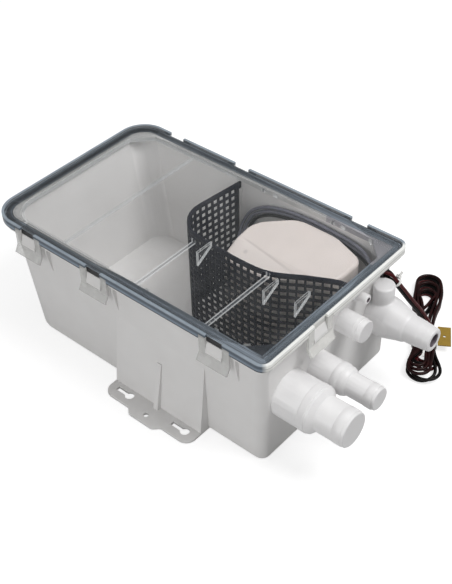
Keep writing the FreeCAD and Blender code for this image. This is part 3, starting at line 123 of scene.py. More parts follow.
class Finish:
    def __init__(self, name, **fixed):
        self.material = bpy.data.materials.new(name)
        self.material.use_nodes = True
        self.tree = self.material.node_tree
        self.shader = self.tree.nodes["Principled BSDF"]
        self.end = self.tree.nodes["Material Output"]
        for key, value in fixed.items():
            self.shader.inputs[key.replace("_", " ")].default_value = value

    def add(self, kind, settings=None, output=0, **values):
        node = self.tree.nodes.new("ShaderNode" + kind)
        for key, value in (settings or {}).items():
            setattr(node, key, value)
        for key, value in values.items():
            slot = node.inputs[int(key[1:])] if key[0] == "i" and key[1:].isdigit() else node.inputs[key]
            if isinstance(value, Wire):
                self.tree.links.new(value.socket, slot)
            else:
                slot.default_value = value
        return Wire(self.tree, node.outputs[output])

    def absolute(self, wire):
        return self.add("Math", {"operation": "ABSOLUTE"}, i0=wire)

    def larger(self, first, second):
        return self.add("Math", {"operation": "MAXIMUM"}, i0=first, i1=second)

    def smaller(self, first, second):
        return self.add("Math", {"operation": "MINIMUM"}, i0=first, i1=second)

    def place(self, scale=(1, 1, 1)):
        spot = self.add("TexCoord", output=3)
        return self.add("Mapping", i0=spot, i3=scale)

    def axes(self):
        split = self.add("SeparateXYZ", i0=self.add("TexCoord", output=3))
        return [Wire(self.tree, split.socket.node.outputs[number]) for number in range(3)]

    def lidEdge(self):
        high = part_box("lid_cover")[1]
        x, y = self.axes()[:2]
        right = x > 0
        corner = lidSet["cornerLeft"] * mm - right * ((lidSet["cornerLeft"] - lidSet["cornerRight"]) * mm)
        beyondX = self.absolute(x) - high.x + corner
        beyondY = self.absolute(y) - high.y + corner
        outX = self.larger(beyondX, 0.0)
        outY = self.larger(beyondY, 0.0)
        outside = self.add("Math", {"operation": "SQRT"}, i0=outX * outX + outY * outY)
        inside = self.smaller(self.larger(beyondX, beyondY), 0.0)
        turn = self.spread(beyondX - beyondY, 0.0, 1.0, *(spot * mm for spot in lidSet["endTurn"]))
        return outside + inside - corner, right * turn

    def noise(self, size, detail=3.0, rough=0.55, stretch=(1, 1, 1), warp=0.0):
        return self.add(
            "TexNoise", i0=self.place(stretch), Scale=1 / (size * mm), Detail=detail, Roughness=rough,
            Distortion=warp,
        )

    def spread(self, wire, low, high, fromLow=0.3, fromHigh=0.7):
        return self.add(
            "MapRange", i0=wire, i1=fromLow, i2=fromHigh, i3=low, i4=high,
        )

    def mix(self, amount, first, second):
        return self.add("Mix", settings={"data_type": "RGBA"}, output=2, i0=amount, i6=first, i7=second)

    def bump(self, height, strength, depth):
        return self.add("Bump", Strength=strength, Distance=depth * mm, Height=height)

    def feed(self, **links):
        for key, wire in links.items():
            self.tree.links.new(wire.socket, self.shader.inputs[key.replace("_", " ")])
        return self.material


def rgb(red, green, blue):
    return (red, green, blue, 1)


# Lid, in mm: its corner radii, where a corner's side turns into the port end, the margin that reads as solid
# and the window inside the gasket. Under the plate: the place along X before which it is hazier, the bars
# along Y with their painted highlight lines and painted dark core, and the fins with their place along X and
# their near and far ends along Y, outlined with painted highlights.
lidSet = {
    "cornerLeft": 24.0,
    "cornerRight": 9.0,
    "endTurn": (-2.5, 3.0),
    "margin": 2.3,
    "window": 11.9,
    "underside": 110.4,
    "ribSide": -20.0,
    "bars": (8.0, 79.5),
    "barHalf": 4.0,
    "barHighlight": 2.1,
    "barShadeCore": 1.0,
    "fins": [(21.0, -21.0, -4.0), (90.0, -24.0, -6.0), (117.0, -20.0, -2.0)],
    "finHalf": 2.0,
    "finTop": 110.5,
    "finLowNear": 96.5,
    "finLowFar": 106.0,
    "finHighlights": {"below": 1.3, "ends": 1.1, "above": 1.2},
}

# Gasket, in mm inwards of the lid's edge: where its rim ends, the rim painted near-black as shade and pale as
# painted light at the port end, where its pale inner part begins, the seam in it and where its shaded part
# begins, painted near-black as shade. The lines are the slope and place in plan where the pale part ends.
gasketSet = {
    "rim": 2.7,
    "pale": 9.2,
    "seam": (10.2, 10.8),
    "shade": 11.8,
    "portLine": (0.3, 96.0),
    "nearLine": (0.1, -78.0),
    "farSide": 52.0,
}

# Lines painted along the gasket, the light ones as painted highlights and the dark ones as painted shade:
# from and to in mm inwards of the lid's edge, strength and colour
gasketPaintedLines = [
    (-3.3, -2.6, 0.75, rgb(0.36, 0.41, 0.46)),
    (-5.4, -4.9, 0.80, rgb(0.008, 0.009, 0.012)),
    (-8.2, -7.5, 0.70, rgb(0.28, 0.33, 0.38)),
    (-10.2, -9.6, 0.85, rgb(0.006, 0.007, 0.010)),
]

# Pump cover, in mm: its ridge line, painted as a line of shade with a painted lit strip beside it, which
# starts and fades out along X, and its dimple, painted as a darker spot of shade
coverSet = {
    "top": 94.0,
    "ridgeY": 31.3,
    "ridgeSlope": 0.149,
    "ridgeStart": (26.0, 34.0),
    "ridgeEnd": (70.0, 92.0),
    "ridgeSoft": (0.2, 1.8),
    "ridgeLit": -1.2,
    "dimpleShade": (39.1, 16.4),
    "dimpleSoft": (1.0, 2.4),
}


def tubFinish():
    look = Finish("tubWhite", IOR=1.49, Subsurface_Weight=0.04, Subsurface_Radius=(0.004, 0.004, 0.004))
    cloud = look.noise(38, 2.0)
    grain = look.noise(0.9, 2.0)
    flow = look.noise(9, 4.0, 0.6, (0.35, 0.35, 1.6), 0.5)
    z = look.axes()[2]
    # Darker in patches towards the bottom edge.
    bottomPatches = look.spread(z, 1.0, 0.0, 0.0, 0.016) * look.spread(look.noise(7, 4.0), 0.0, 1.0, 0.4, 0.7)
    shade = look.mix(look.spread(cloud, 0, 1), rgb(0.725, 0.716, 0.708), rgb(0.765, 0.757, 0.750))
    shade = look.mix(bottomPatches * 0.16, shade, rgb(0.55, 0.53, 0.50))
    rough = look.spread(flow, 0.36, 0.46) + look.spread(grain, -0.02, 0.02)
    return look.feed(
        Base_Color=shade, Roughness=rough, Normal=look.bump(grain * 0.5 + flow, 0.16, 0.05),
    )


# Bores seen from outside, their insides painted near-black as shade: centre in Y and Z, radius and where
# along X they start, in mm
boreShadeSet = [(59.0, 60.0, 5.8, 150.0), (31.0, 96.0, 2.1, 139.0)]

# Ports, in mm: the place along Y beyond which they are the valve's, drawn a darker grey, the pitch of the
# turning lines and the depth of the end face, painted darker as shade
portSet = {"valveSide": 44.0, "linePitch": 1.1, "shadedEndFace": 0.3}
spigots = ("inlet_spigot_large", "inlet_spigot_medium", "inlet_spigot_small")


def portFinish():
    look = Finish("portWhite", IOR=1.49, Subsurface_Weight=0.05, Subsurface_Radius=(0.004, 0.004, 0.004))
    x, y, z = look.axes()
    rings = look.add("Math", {"operation": "SINE"}, i0=x * (math.tau / (portSet["linePitch"] * mm)))
    cloud = look.noise(14, 3.0)
    grain = look.noise(0.7, 2.0)
    shade = look.mix(look.spread(cloud, 0, 1), rgb(0.745, 0.737, 0.740), rgb(0.79, 0.783, 0.783))
    # Past valveSide the ports are drawn a darker grey.
    shade = look.mix((y > portSet["valveSide"] * mm) * 0.22, shade, rgb(0.56, 0.553, 0.565))
    # Painted shade: the spigots' end faces are drawn darker.
    for name in spigots:
        low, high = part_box(name)
        face = (x > high.x - portSet["shadedEndFace"] * mm) * (y > low.y) * (y < high.y)
        shade = look.mix(face * 0.45, shade, rgb(0.60, 0.593, 0.60))
    # Painted shade inside the bores.
    for middleY, middleZ, radius, start in boreShadeSet:
        offY, offZ = y - middleY * mm, z - middleZ * mm
        boreShade = (offY * offY + offZ * offZ < (radius * mm) ** 2) * (x > start * mm)
        shade = look.mix(boreShade * 0.94, shade, rgb(0.11, 0.085, 0.105))
    rough = look.spread(cloud, 0.30, 0.40) + look.spread(grain, -0.02, 0.02)
    height = rings * 0.12 + grain * 0.6
    return look.feed(Base_Color=shade, Roughness=rough, Normal=look.bump(height, 0.14, 0.05))


# Painted colours down the lid's side, from its lower edge up, for painted shade and painted reflection bands
# on the long sides and painted light at the port end: to which height in mm, then for the long sides and for
# the port end
paintedSideBands = [
    (107.5, rgb(0.035, 0.042, 0.050), rgb(0.72, 0.715, 0.70)),
    (109.3, rgb(0.24, 0.30, 0.37), rgb(0.80, 0.80, 0.77)),
    (110.1, rgb(0.16, 0.20, 0.25), rgb(0.55, 0.55, 0.54)),
    (112.3, rgb(0.10, 0.125, 0.155), rgb(0.86, 0.865, 0.835)),
    (120.0, rgb(0.32, 0.37, 0.42), rgb(0.88, 0.885, 0.86)),
]


# The fins' outlines, which are painted bright as highlights.
def finHighlightMask(look, x, y, z):
    lines = lidSet["finHighlights"]
    slope = lidSet["finLowFar"] - lidSet["finLowNear"]
    fins = x * 0
    for spot, near, far in lidSet["fins"]:
        low = (y - near * mm) * (slope / (far - near)) + lidSet["finLowNear"] * mm
        border = (z < low + lines["below"] * mm) + (z > (lidSet["finTop"] - lines["above"]) * mm)
        border = border + (y < (near + lines["ends"]) * mm) + (y > (far - lines["ends"]) * mm)
        fins = fins + (look.absolute(x - spot * mm) < lidSet["finHalf"] * mm) * (border > 0.5)
    return fins


def clearFinish(name, base, rise, shade):
    look = Finish(name, IOR=1.49, Specular_IOR_Level=0.25)
    x, y, z = look.axes()
    edge, atEnd = look.lidEdge()
    margin = edge > -lidSet["margin"] * mm
    under = (z < lidSet["underside"] * mm) * (edge < -lidSet["window"] * mm)
    rib = under * (x < lidSet["ribSide"] * mm)
    offBar = look.smaller(*(look.absolute(x - spot * mm) for spot in lidSet["bars"]))
    bar = under * (offBar < lidSet["barHalf"] * mm)
    # Painted highlight lines along each bar's sides and a painted dark core.
    line = bar * (offBar > lidSet["barShadeCore"] * mm) * (offBar < lidSet["barHighlight"] * mm)
    barShade = bar * (offBar < lidSet["barShadeCore"] * mm)
    # Painted highlights along the fins' outlines.
    finHighlight = under * finHighlightMask(look, x, y, z)
    facing = look.add("LayerWeight", output=1, i0=0.5)
    haze = look.noise(22, 3.0)
    # Streaks of painted reflection along the lid's side.
    reflectionStreak = look.spread(look.noise(3.0, 4.0, 0.7, (0.15, 0.15, 1)), 0.0, 1.0, 0.35, 0.65)
    steep = facing * facing * facing
    alpha = steep * rise + look.spread(haze, base - 0.004, base + 0.008) + margin * 0.9
    alpha = alpha * (1 - bar * 0.6) + rib * 0.16 + line * 0.42 + barShade * 0.34 + finHighlight * 0.50
    tint = look.mix(look.spread(haze, 0, 1), shade, rgb(0.80, 0.83, 0.85))
    tint = look.mix(barShade * 0.9, look.mix(line + finHighlight, tint, rgb(0.88, 0.90, 0.91)), rgb(0.08, 0.09, 0.11))
    # Painted shade and painted reflection bands up the long sides, painted light up the port end.
    side = look.mix(1.0, tint, paintedSideBands[0][1])
    cap = look.mix(1.0, tint, paintedSideBands[0][2])
    for (height, *_), (_, colour, litEndColour) in zip(paintedSideBands, paintedSideBands[1:]):
        above = z > height * mm
        side = look.mix(above, side, colour)
        cap = look.mix(above, cap, litEndColour)
    side = look.mix(reflectionStreak * 0.35, side, rgb(0.10, 0.125, 0.155))
    tint = look.mix(margin, tint, look.mix(atEnd, side, cap))
    scratch = look.noise(2.2, 3.0, 0.7, (0.12, 1, 1))
    return look.feed(
        Base_Color=tint, Alpha=alpha, Roughness=look.spread(haze, 0.03, 0.09),
        Normal=look.bump(scratch, 0.05, 0.03),
    )


def clipFinish(name, clear, shade, other):
    look = Finish(name, IOR=1.49, Coat_Weight=0.3, Coat_Roughness=0.15)
    haze = look.noise(9, 2.0)
    facing = look.add("LayerWeight", output=1, i0=0.4)
    alpha = clear + facing * 0.25 + look.spread(haze, -0.03, 0.03)
    return look.feed(
        Base_Color=look.mix(look.spread(haze, 0, 1), shade, other), Alpha=alpha,
        Roughness=look.spread(haze, 0.18, 0.32), Normal=look.bump(haze, 0.08, 0.05),
    )


def gasketFinish():
    look = Finish("gasketRubber", IOR=1.5, Specular_IOR_Level=0.45)
    x, y = look.axes()[:2]
    edge, atEnd = look.lidEdge()
    cloud = look.noise(26, 3.0)
    grain = look.noise(0.6, 3.0)
    bloom = look.spread(look.noise(5, 4.0, 0.65), 0.0, 1.0, 0.45, 0.75)
    # Painted sheen: the gasket is lighter towards the port end and the near side.
    paintedSheen = look.spread(x - y * 0.25, 0.0, 1.0, -0.16, 0.15)
    shade = look.mix(look.spread(cloud, 0, 1), rgb(0.018, 0.021, 0.026), rgb(0.034, 0.040, 0.048))
    shade = look.mix(paintedSheen * 0.9, shade, rgb(0.180, 0.215, 0.255))
    reflectionStreak = look.spread(look.noise(3.5, 4.0, 0.7, (0.3, 0.3, 1)), 0.0, 1.0, 0.42, 0.62)
    # Painted highlight and shade lines, broken by painted reflection streaks.
    for start, end, strength, colour in gasketPaintedLines:
        band = (edge > start * mm) * (edge < end * mm)
        shade = look.mix(band * (strength * 0.5 + reflectionStreak * strength * 0.5), shade, colour)
    # Painted shade: the outer rim is near-black, as seen through the lid's slots, and pale, as painted light,
    # at the port end.
    rim = look.mix(atEnd, rgb(0.003, 0.003, 0.004), rgb(0.62, 0.615, 0.595))
    shade = look.mix(edge > -gasketSet["rim"] * mm, shade, rim)
    inner = edge < -gasketSet["pale"] * mm
    portSlope, portPlace = gasketSet["portLine"]
    nearSlope, nearPlace = gasketSet["nearLine"]
    toPorts = x + y * portSlope
    pale = inner * (toPorts < portPlace * mm) * (y - x * nearSlope > nearPlace * mm)
    shade = look.mix(pale * 0.93, shade, rgb(0.60, 0.60, 0.59))
    seamOut, seamIn = gasketSet["seam"]
    seam = pale * (edge < -seamOut * mm) * (edge > -seamIn * mm)
    shade = look.mix(seam * 0.7, shade, rgb(0.25, 0.26, 0.28))
    farCorner = inner * (toPorts > portPlace * mm) * (y > gasketSet["farSide"] * mm)
    shade = look.mix(farCorner * 0.93, shade, rgb(0.34, 0.335, 0.36))
    below = (edge < -gasketSet["shade"] * mm) * (x > 0) * (y < 0)
    shade = look.mix(below * 0.85, shade, rgb(0.010, 0.011, 0.016))
    shade = look.mix(bloom * 0.12, shade, rgb(0.12, 0.14, 0.16))
    return look.feed(
        Base_Color=shade, Roughness=look.spread(bloom, 0.42, 0.62, 0, 1),
        Normal=look.bump(grain, 0.2, 0.05),
    )


def screenFinish():
    look = Finish("strainerBlack", IOR=1.49, Specular_IOR_Level=0.08)
    cloud = look.noise(18, 3.0)
    grain = look.noise(0.5, 2.0)
    shade = look.mix(look.spread(cloud, 0, 1), rgb(0.003, 0.0035, 0.009), rgb(0.008, 0.009, 0.018))
    return look.feed(
        Base_Color=shade, Roughness=look.spread(cloud, 0.44, 0.56), Normal=look.bump(grain, 0.15, 0.04),
    )


def coverFinish():
    look = Finish("coverWarmWhite", IOR=1.49, Subsurface_Weight=0.05, Subsurface_Radius=(0.005, 0.004, 0.003))
    cloud = look.noise(30, 3.0, 0.5)
    grain = look.noise(0.5, 2.0)
    flow = look.noise(12, 3.0, 0.6, (1, 0.3, 0.3), 0.8)
    shade = look.mix(look.spread(cloud, 0, 1), rgb(0.65, 0.588, 0.556), rgb(0.692, 0.628, 0.596))
    shade = look.mix(look.spread(flow, 0, 0.25), shade, rgb(0.715, 0.657, 0.63))
    x, y, z = look.axes()
    onTop = z > coverSet["top"] * mm
    across = y + x * coverSet["ridgeSlope"] - coverSet["ridgeY"] * mm
    start = look.spread(x, 0.0, 1.0, *(spot * mm for spot in coverSet["ridgeStart"]))
    end = look.spread(x, 1.0, 0.0, *(spot * mm for spot in coverSet["ridgeEnd"]))
    reach = start * end * onTop
    # Painted shade along the ridge line, and a painted lit strip on its near side.
    band = look.spread(look.absolute(across), 0.42, 0.0, *(away * mm for away in coverSet["ridgeSoft"]))
    shade = look.mix(reach * band, shade, rgb(0.42, 0.375, 0.365))
    shade = look.mix(reach * (across < coverSet["ridgeLit"] * mm) * 0.35, shade, rgb(0.80, 0.745, 0.715))
    # Painted shade: the dimple is a darker spot.
    offX, offY = x - coverSet["dimpleShade"][0] * mm, y - coverSet["dimpleShade"][1] * mm
    soft = ((radius * mm) ** 2 for radius in coverSet["dimpleSoft"])
    dimpleShade = look.spread(offX * offX + offY * offY, 0.45, 0.0, *soft)
    shade = look.mix(dimpleShade * onTop, shade, rgb(0.46, 0.42, 0.42))
    return look.feed(
        Base_Color=shade, Roughness=look.spread(flow, 0.38, 0.50), Normal=look.bump(grain, 0.18, 0.05),
    )


def darkPartFinish():
    look = Finish("pumpGrey", IOR=1.49)
    cloud = look.noise(11, 3.0)
    grain = look.noise(0.5, 2.0)
    shade = look.mix(look.spread(cloud, 0, 1), rgb(0.50, 0.49, 0.48), rgb(0.58, 0.57, 0.56))
    return look.feed(
        Base_Color=shade, Roughness=look.spread(cloud, 0.38, 0.52), Normal=look.bump(grain, 0.2, 0.05),
    )


def rubberFinish():
    look = Finish("blackRubber", IOR=1.5)
    cloud = look.noise(6, 3.0)
    shade = look.mix(look.spread(cloud, 0, 1), rgb(0.016, 0.016, 0.016), rgb(0.032, 0.031, 0.030))
    return look.feed(
        Base_Color=shade, Roughness=look.spread(cloud, 0.5, 0.68),
        Normal=look.bump(look.noise(0.5, 2.0), 0.25, 0.04),
    )


def metalFinish(name, first, second, rough, stretch):
    look = Finish(name, Metallic=1.0)
    brush = look.noise(1.4, 4.0, 0.6, stretch)
    stain = look.noise(9, 3.0)
    shade = look.mix(look.spread(stain, 0, 1), first, second)
    return look.feed(
        Base_Color=shade, Roughness=look.spread(brush, rough, rough + 0.14),
        Normal=look.bump(brush, 0.15, 0.03),
    )


def ferriteFinish():
    look = Finish("ferriteGrey", IOR=1.6)
    grain = look.noise(0.7, 4.0)
    shade = look.mix(look.spread(grain, 0, 1), rgb(0.045, 0.045, 0.048), rgb(0.085, 0.083, 0.082))
    return look.feed(
        Base_Color=shade, Roughness=look.spread(grain, 0.5, 0.7), Normal=look.bump(grain, 0.4, 0.06),
    )


def skinFinish(name, first, second, stripe=None):
    look = Finish(name, IOR=1.5, Specular_IOR_Level=0.16)
    cloud = look.noise(5, 3.0)
    grain = look.noise(0.35, 2.0)
    shade = look.mix(look.spread(cloud, 0, 1), first, second)
    if stripe:
        around = look.add("SeparateXYZ", output=1, i0=look.add("TexCoord", output=2))
        line = (around > 0.46) * (around < 0.54)
        shade = look.mix(line, shade, stripe)
    return look.feed(
        Base_Color=shade, Roughness=look.spread(cloud, 0.30, 0.42), Normal=look.bump(grain, 0.12, 0.02),
    )


def nylonFinish():
    look = Finish("tieNylon", IOR=1.53, Subsurface_Weight=0.1, Subsurface_Radius=(0.002, 0.002, 0.002))
    cloud = look.noise(3, 3.0)
    shade = look.mix(look.spread(cloud, 0, 1), rgb(0.76, 0.755, 0.73), rgb(0.85, 0.845, 0.825))
    return look.feed(
        Base_Color=shade, Roughness=look.spread(cloud, 0.3, 0.42), Normal=look.bump(cloud, 0.1, 0.03),
    )


def tagFinish():
    look = Finish("tagYellow", IOR=1.48)
    fibre = look.noise(0.8, 5.0, 0.7, (1, 0.4, 1))
    wear = look.spread(look.noise(4, 4.0), 0.0, 1.0, 0.5, 0.72)
    shade = look.mix(look.spread(fibre, 0, 1), rgb(0.26, 0.16, 0.012), rgb(0.34, 0.215, 0.022))
    shade = look.mix(wear * 0.4, shade, rgb(0.20, 0.13, 0.02))
    return look.feed(
        Base_Color=shade, Roughness=look.spread(fibre, 0.45, 0.62), Normal=look.bump(fibre, 0.2, 0.05),
    )


finishes = {
    "tub": tubFinish(),
    "port": portFinish(),
    "clear": clearFinish("clearLid", 0.009, 0.22, rgb(0.66, 0.70, 0.72)),
    # The lid's rounded edges: a paler, more solid copy of the clear finish as a painted highlight.
    "clearEdgeHighlight": clearFinish("clearLidEdgeHighlight", 0.72, 0.25, rgb(0.80, 0.83, 0.85)),
    "clip": clipFinish("clipFrosted", 0.42, rgb(0.64, 0.64, 0.625), rgb(0.69, 0.69, 0.675)),
    # The clips' rounded edges: a darker, more solid copy of the frosted finish as painted shade.
    "clipEdgeShade": clipFinish("clipFrostedEdgeShade", 0.68, rgb(0.50, 0.50, 0.495), rgb(0.57, 0.57, 0.56)),
    "endClip": clipFinish("clipFrostedEnd", 0.62, rgb(0.75, 0.745, 0.72), rgb(0.79, 0.785, 0.76)),
    "gasket": gasketFinish(),
    "screen": screenFinish(),
    "cover": coverFinish(),
    "pumpGrey": darkPartFinish(),
    "rubber": rubberFinish(),
    "steel": metalFinish("brightSteel", rgb(0.58, 0.585, 0.59), rgb(0.68, 0.68, 0.685), 0.22, (1, 1, 0.08)),
    "can": metalFinish("platedSteel", rgb(0.47, 0.475, 0.48), rgb(0.56, 0.56, 0.565), 0.30, (1, 1, 0.05)),
    "bronze": metalFinish("sinteredBronze", rgb(0.50, 0.34, 0.16), rgb(0.60, 0.42, 0.22), 0.42, (1, 1, 1)),
    "ferrite": ferriteFinish(),
    "blackSkin": skinFinish("blackSkin", rgb(0.0015, 0.001, 0.001), rgb(0.004, 0.0025, 0.0025)),
    "brownSkin": skinFinish("brownSkin", rgb(0.005, 0.001, 0.001), rgb(0.022, 0.0022, 0.0022)),
    "stripedSkin": skinFinish(
        "stripedSkin", rgb(0.050, 0.003, 0.005), rgb(0.085, 0.007, 0.009), rgb(0.22, 0.085, 0.085)
    ),
    # The brown and striped inner leads are painted the slate blue-grey of the shade beside the pump cover.
    "innerSkin": skinFinish("innerSkin", rgb(0.17, 0.175, 0.215), rgb(0.23, 0.23, 0.28)),
    "nylon": nylonFinish(),
    "tag": tagFinish(),
}
print("finishes made")


# The cords come first: three leads from the grommet down to the hank on the floor
leadSet = {
    "diameter": 2.8,
    "packed": 1.68,
    "splayed": 2.6,
    "angles": {"black": 180, "brown": 300, "striped": 60},
    "hint": Vector((0, 0.25, 1)),
    "route": [
        (135.2, 69.2, 92.0),
        (138.6, 72.3, 91.2),
        (144.0, 75.4, 83.6),
        (147.2, 82.9, 70.8),
        (150.4, 90.1, 58.0),
        (153.2, 99.2, 44.0),
        (155.6, 107.6, 30.0),
        (157.3, 113.2, 19.0),
        (158.8, 116.8, 11.8),
    ],
}

# The hank, in the plane of the floor: "across" runs to the right of the view and "along" away from it,
# both in mm from the frame's origin. A strand's width runs from 0, the tightest, to 1, the widest.
hankSet = {
    "tie": (189.0, -32.0),
    "tieAcross": (0.983, -0.182),
    "tieReach": (1.7, 7.9),
    "waist": (0.182, 0.983),
    "waistReach": 8.0,
    "landing": (197.6, -24.0, 2.2),
    "forkAlong": 5.0,
    "forkLeft": (194.0, 187.2),
    "forkRight": (197.8, 205.4),
    "shoulderAlong": 23.0,
    "shoulderLeft": (195.2, 188.2),
    "shoulderRight": (204.2, 213.2),
    "topAcross": (200.2, 205.2),
    "topEnd": (32.6, 58.2),
    "topRadius": (6.6, 11.0),
    "lowAcross": (184.0, 184.4),
    "lowEnd": (-52.0, -65.0),
    "lowRadius": (6.7, 9.9),
    "lowShift": {"black": 0.2, "brown": -4.2, "striped": 4.0},
    "turns": 3,
    "lobePoints": 6,
    "lobeInset": 0.96,
    "lowTurn": (5, -185),
    "topTurn": (188, -8),
    "waistLow": 0.9,
    "shoulderGap": 4,
    "floor": 1.65,
    "layer": 2.95,
    "tilt": 1.15,
    "tiltFrom": 5,
    "layers": {"black": 1, "brown": 2, "striped": 0},
    "wild": {("black", 0): ((185.9, -60.4), 12.5, 4.8), ("black", 1): ((182.4, -58.6), 12.4, 1.65)},
    "tips": {"black": (193.6, 5.8), "brown": (192.8, 9.4), "striped": (195.0, 8.0)},
    "tipBend": (5.6, 4.4),
}


def leadPoints(name):
    route = [Vector(spot) for spot in leadSet["route"]]
    angle = math.radians(leadSet["angles"][name])
    points = []
    for index, point in enumerate(route):
        before = route[max(index - 1, 0)]
        after = route[min(index + 1, len(route) - 1)]
        along = Vector((1, 0, 0)) if index == 0 else (after - before).normalized()
        hint = leadSet["hint"]
        side = (hint - along * hint.dot(along)).normalized()
        front = along.cross(side)
        reach = leadSet["splayed"] if index == 1 else leadSet["packed"]
        points.append(point + (side * math.cos(angle) + front * math.sin(angle)) * reach)
    return points


def hankSpot(across, along, height):
    azimuth = math.radians(cameraSet["azimuth"])
    right = Vector((math.cos(azimuth), math.sin(azimuth), 0))
    away = Vector((-right.y, right.x, 0))
    return right * across + away * along + Vector((0, 0, height))


def between(pair, share):
    return pair[0] + (pair[1] - pair[0]) * share


def lobe(middle, radius, turn, count, side, low):
    start, end = turn
    points = []
    for step in range(count):
        angle = math.radians(start + (end - start) * step / (count - 1))
        sink = abs(math.sin(angle))
        points.append(hankSpot(
            middle[0] + math.cos(angle) * radius, middle[1] + math.sin(angle) * radius,
            side + (low - side) * sink,
        ))
    return points


def hankPoints(name):
    layer = hankSet["layers"][name]
    height = hankSet["floor"] + layer * hankSet["layer"]
    count = hankSet["lobePoints"]
    tie, across = Vector(hankSet["tie"]), Vector(hankSet["tieAcross"])
    waist = Vector(hankSet["waist"]) * hankSet["waistReach"]
    landing = hankSet["landing"]
    turns = hankSet["turns"]
    inset = hankSet["lobeInset"]
    shoulder = hankSet["shoulderAlong"]
    lean = hankSet["tilt"] * (height - hankSet["tiltFrom"])
    points = [hankSpot(landing[0], landing[1], height + landing[2])]
    for number in range(turns):
        width = 1 - number / (turns - 1)
        after = max(width - 1 / (turns - 1), 0)
        size = (turns * (turns - 1 - number) + layer) / (turns * turns - 1)
        left = tie - across * between(hankSet["tieReach"], width)
        right = tie + across * between(hankSet["tieReach"], width)
        lowRadius, lowHeight = between(hankSet["lowRadius"], size), height
        lowEnd = between(hankSet["lowEnd"], size) - lean
        lowAcross = between(hankSet["lowAcross"], size) + hankSet["lowShift"][name]
        lowMiddle = (lowAcross, lowEnd + lowRadius * inset)
        if (name, number) in hankSet["wild"]:
            lowMiddle, lowRadius, lowHeight = hankSet["wild"][(name, number)]
        topRadius = between(hankSet["topRadius"], size)
        topEnd = between(hankSet["topEnd"], size) - lean
        topMiddle = (between(hankSet["topAcross"], size), topEnd - topRadius * inset)
        beyondShoulder = topMiddle[1] > shoulder + hankSet["shoulderGap"]
        points += [hankSpot(*(right - waist * hankSet["waistLow"]), height)]
        points += lobe(lowMiddle, lowRadius, hankSet["lowTurn"], count, height, lowHeight)
        points += [hankSpot(*(left - waist * hankSet["waistLow"]), height), hankSpot(*(left + waist), height)]
        points += [hankSpot(between(hankSet["forkLeft"], width), hankSet["forkAlong"], height)]
        if beyondShoulder:
            points += [hankSpot(between(hankSet["shoulderLeft"], width), shoulder, height)]
        points += lobe(topMiddle, topRadius, hankSet["topTurn"], count, height, height)
        if beyondShoulder:
            points += [hankSpot(between(hankSet["shoulderRight"], width), shoulder, height)]
        if number < turns - 1:
            nextRight = tie + across * between(hankSet["tieReach"], after)
            fork = between(hankSet["forkRight"], (width + after) / 2)
            points += [hankSpot(fork, hankSet["forkAlong"], height), hankSpot(*(nextRight + waist), height)]
    tip, bend = hankSet["tips"][name], hankSet["tipBend"]
    points += [hankSpot(tip[0] + bend[0], tip[1] + bend[1], height), hankSpot(*tip, height)]
    return points


def cordCurve(name, points, diameter, finish):
    data = bpy.data.curves.new(name, "CURVE")
    data.dimensions = "3D"
    data.bevel_depth = diameter / 2 * mm
    data.bevel_resolution = 3
    data.resolution_u = 6
    data.use_fill_caps = True
    spline = data.splines.new("NURBS")
    spline.points.add(len(points) - 1)
    for place, point in zip(spline.points, points):
        place.co = (*(point * mm), 1)
    spline.order_u = 3
    spline.use_endpoint_u = True
    data.materials.append(finishes[finish])
    item = bpy.data.objects.new(name, data)
    scene.collection.objects.link(item)
    return item


def centreLine(item):
    depth = item.data.bevel_depth
    item.data.bevel_depth = 0
    bpy.context.view_layer.update()
    mesh = bpy.data.meshes.new_from_object(item.evaluated_get(bpy.context.evaluated_depsgraph_get()))
    line = [vertex.co.copy() for vertex in mesh.vertices]
    bpy.data.meshes.remove(mesh)
    item.data.bevel_depth = depth
    return line


leads = {}
for name in ("black", "brown", "striped"):
    points = leadPoints(name) + hankPoints(name)
    lead = cordCurve("lead" + name.capitalize() + "Run", points, leadSet["diameter"], name + "Skin")
    line = centreLine(lead)
    length = sum((after - before).length for before, after in zip(line, line[1:]))
    leads[name] = {"item": lead, "length": length, "exit": points[0] * mm}
    print("lead", name, "length %.3f m" % length)


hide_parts("lead_black", "lead_hank")
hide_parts("lead_brown")
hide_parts("lead_striped")
for lead in leads.values():
    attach(lead["item"], "tub")
print("cords made")


# Moulded edges: the distance in mm at which corners merge, and how many faces round an edge sharper than
# the angle
edgeSet = {"merge": 0.01, "segments": 2, "angle": 38}


def softenEdges(item, width):
    weld = item.modifiers.new("weld", "WELD")
    weld.merge_threshold = edgeSet["merge"] * mm
    bevel = item.modifiers.new("softEdge", "BEVEL")
    bevel.width = width * mm
    bevel.segments = edgeSet["segments"]
    bevel.limit_method = "ANGLE"
    bevel.angle_limit = math.radians(edgeSet["angle"])
    bevel.harden_normals = True


def newPiece(name, bm, finish, body, smooth=True):
    mesh = bpy.data.meshes.new(name)
    bm.to_mesh(mesh)
    bm.free()
    for face in mesh.polygons:
        face.use_smooth = smooth
    mesh.materials.append(finishes[finish])
    item = bpy.data.objects.new(name, mesh)
    scene.collection.objects.link(item)
    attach(item, body)
    return item


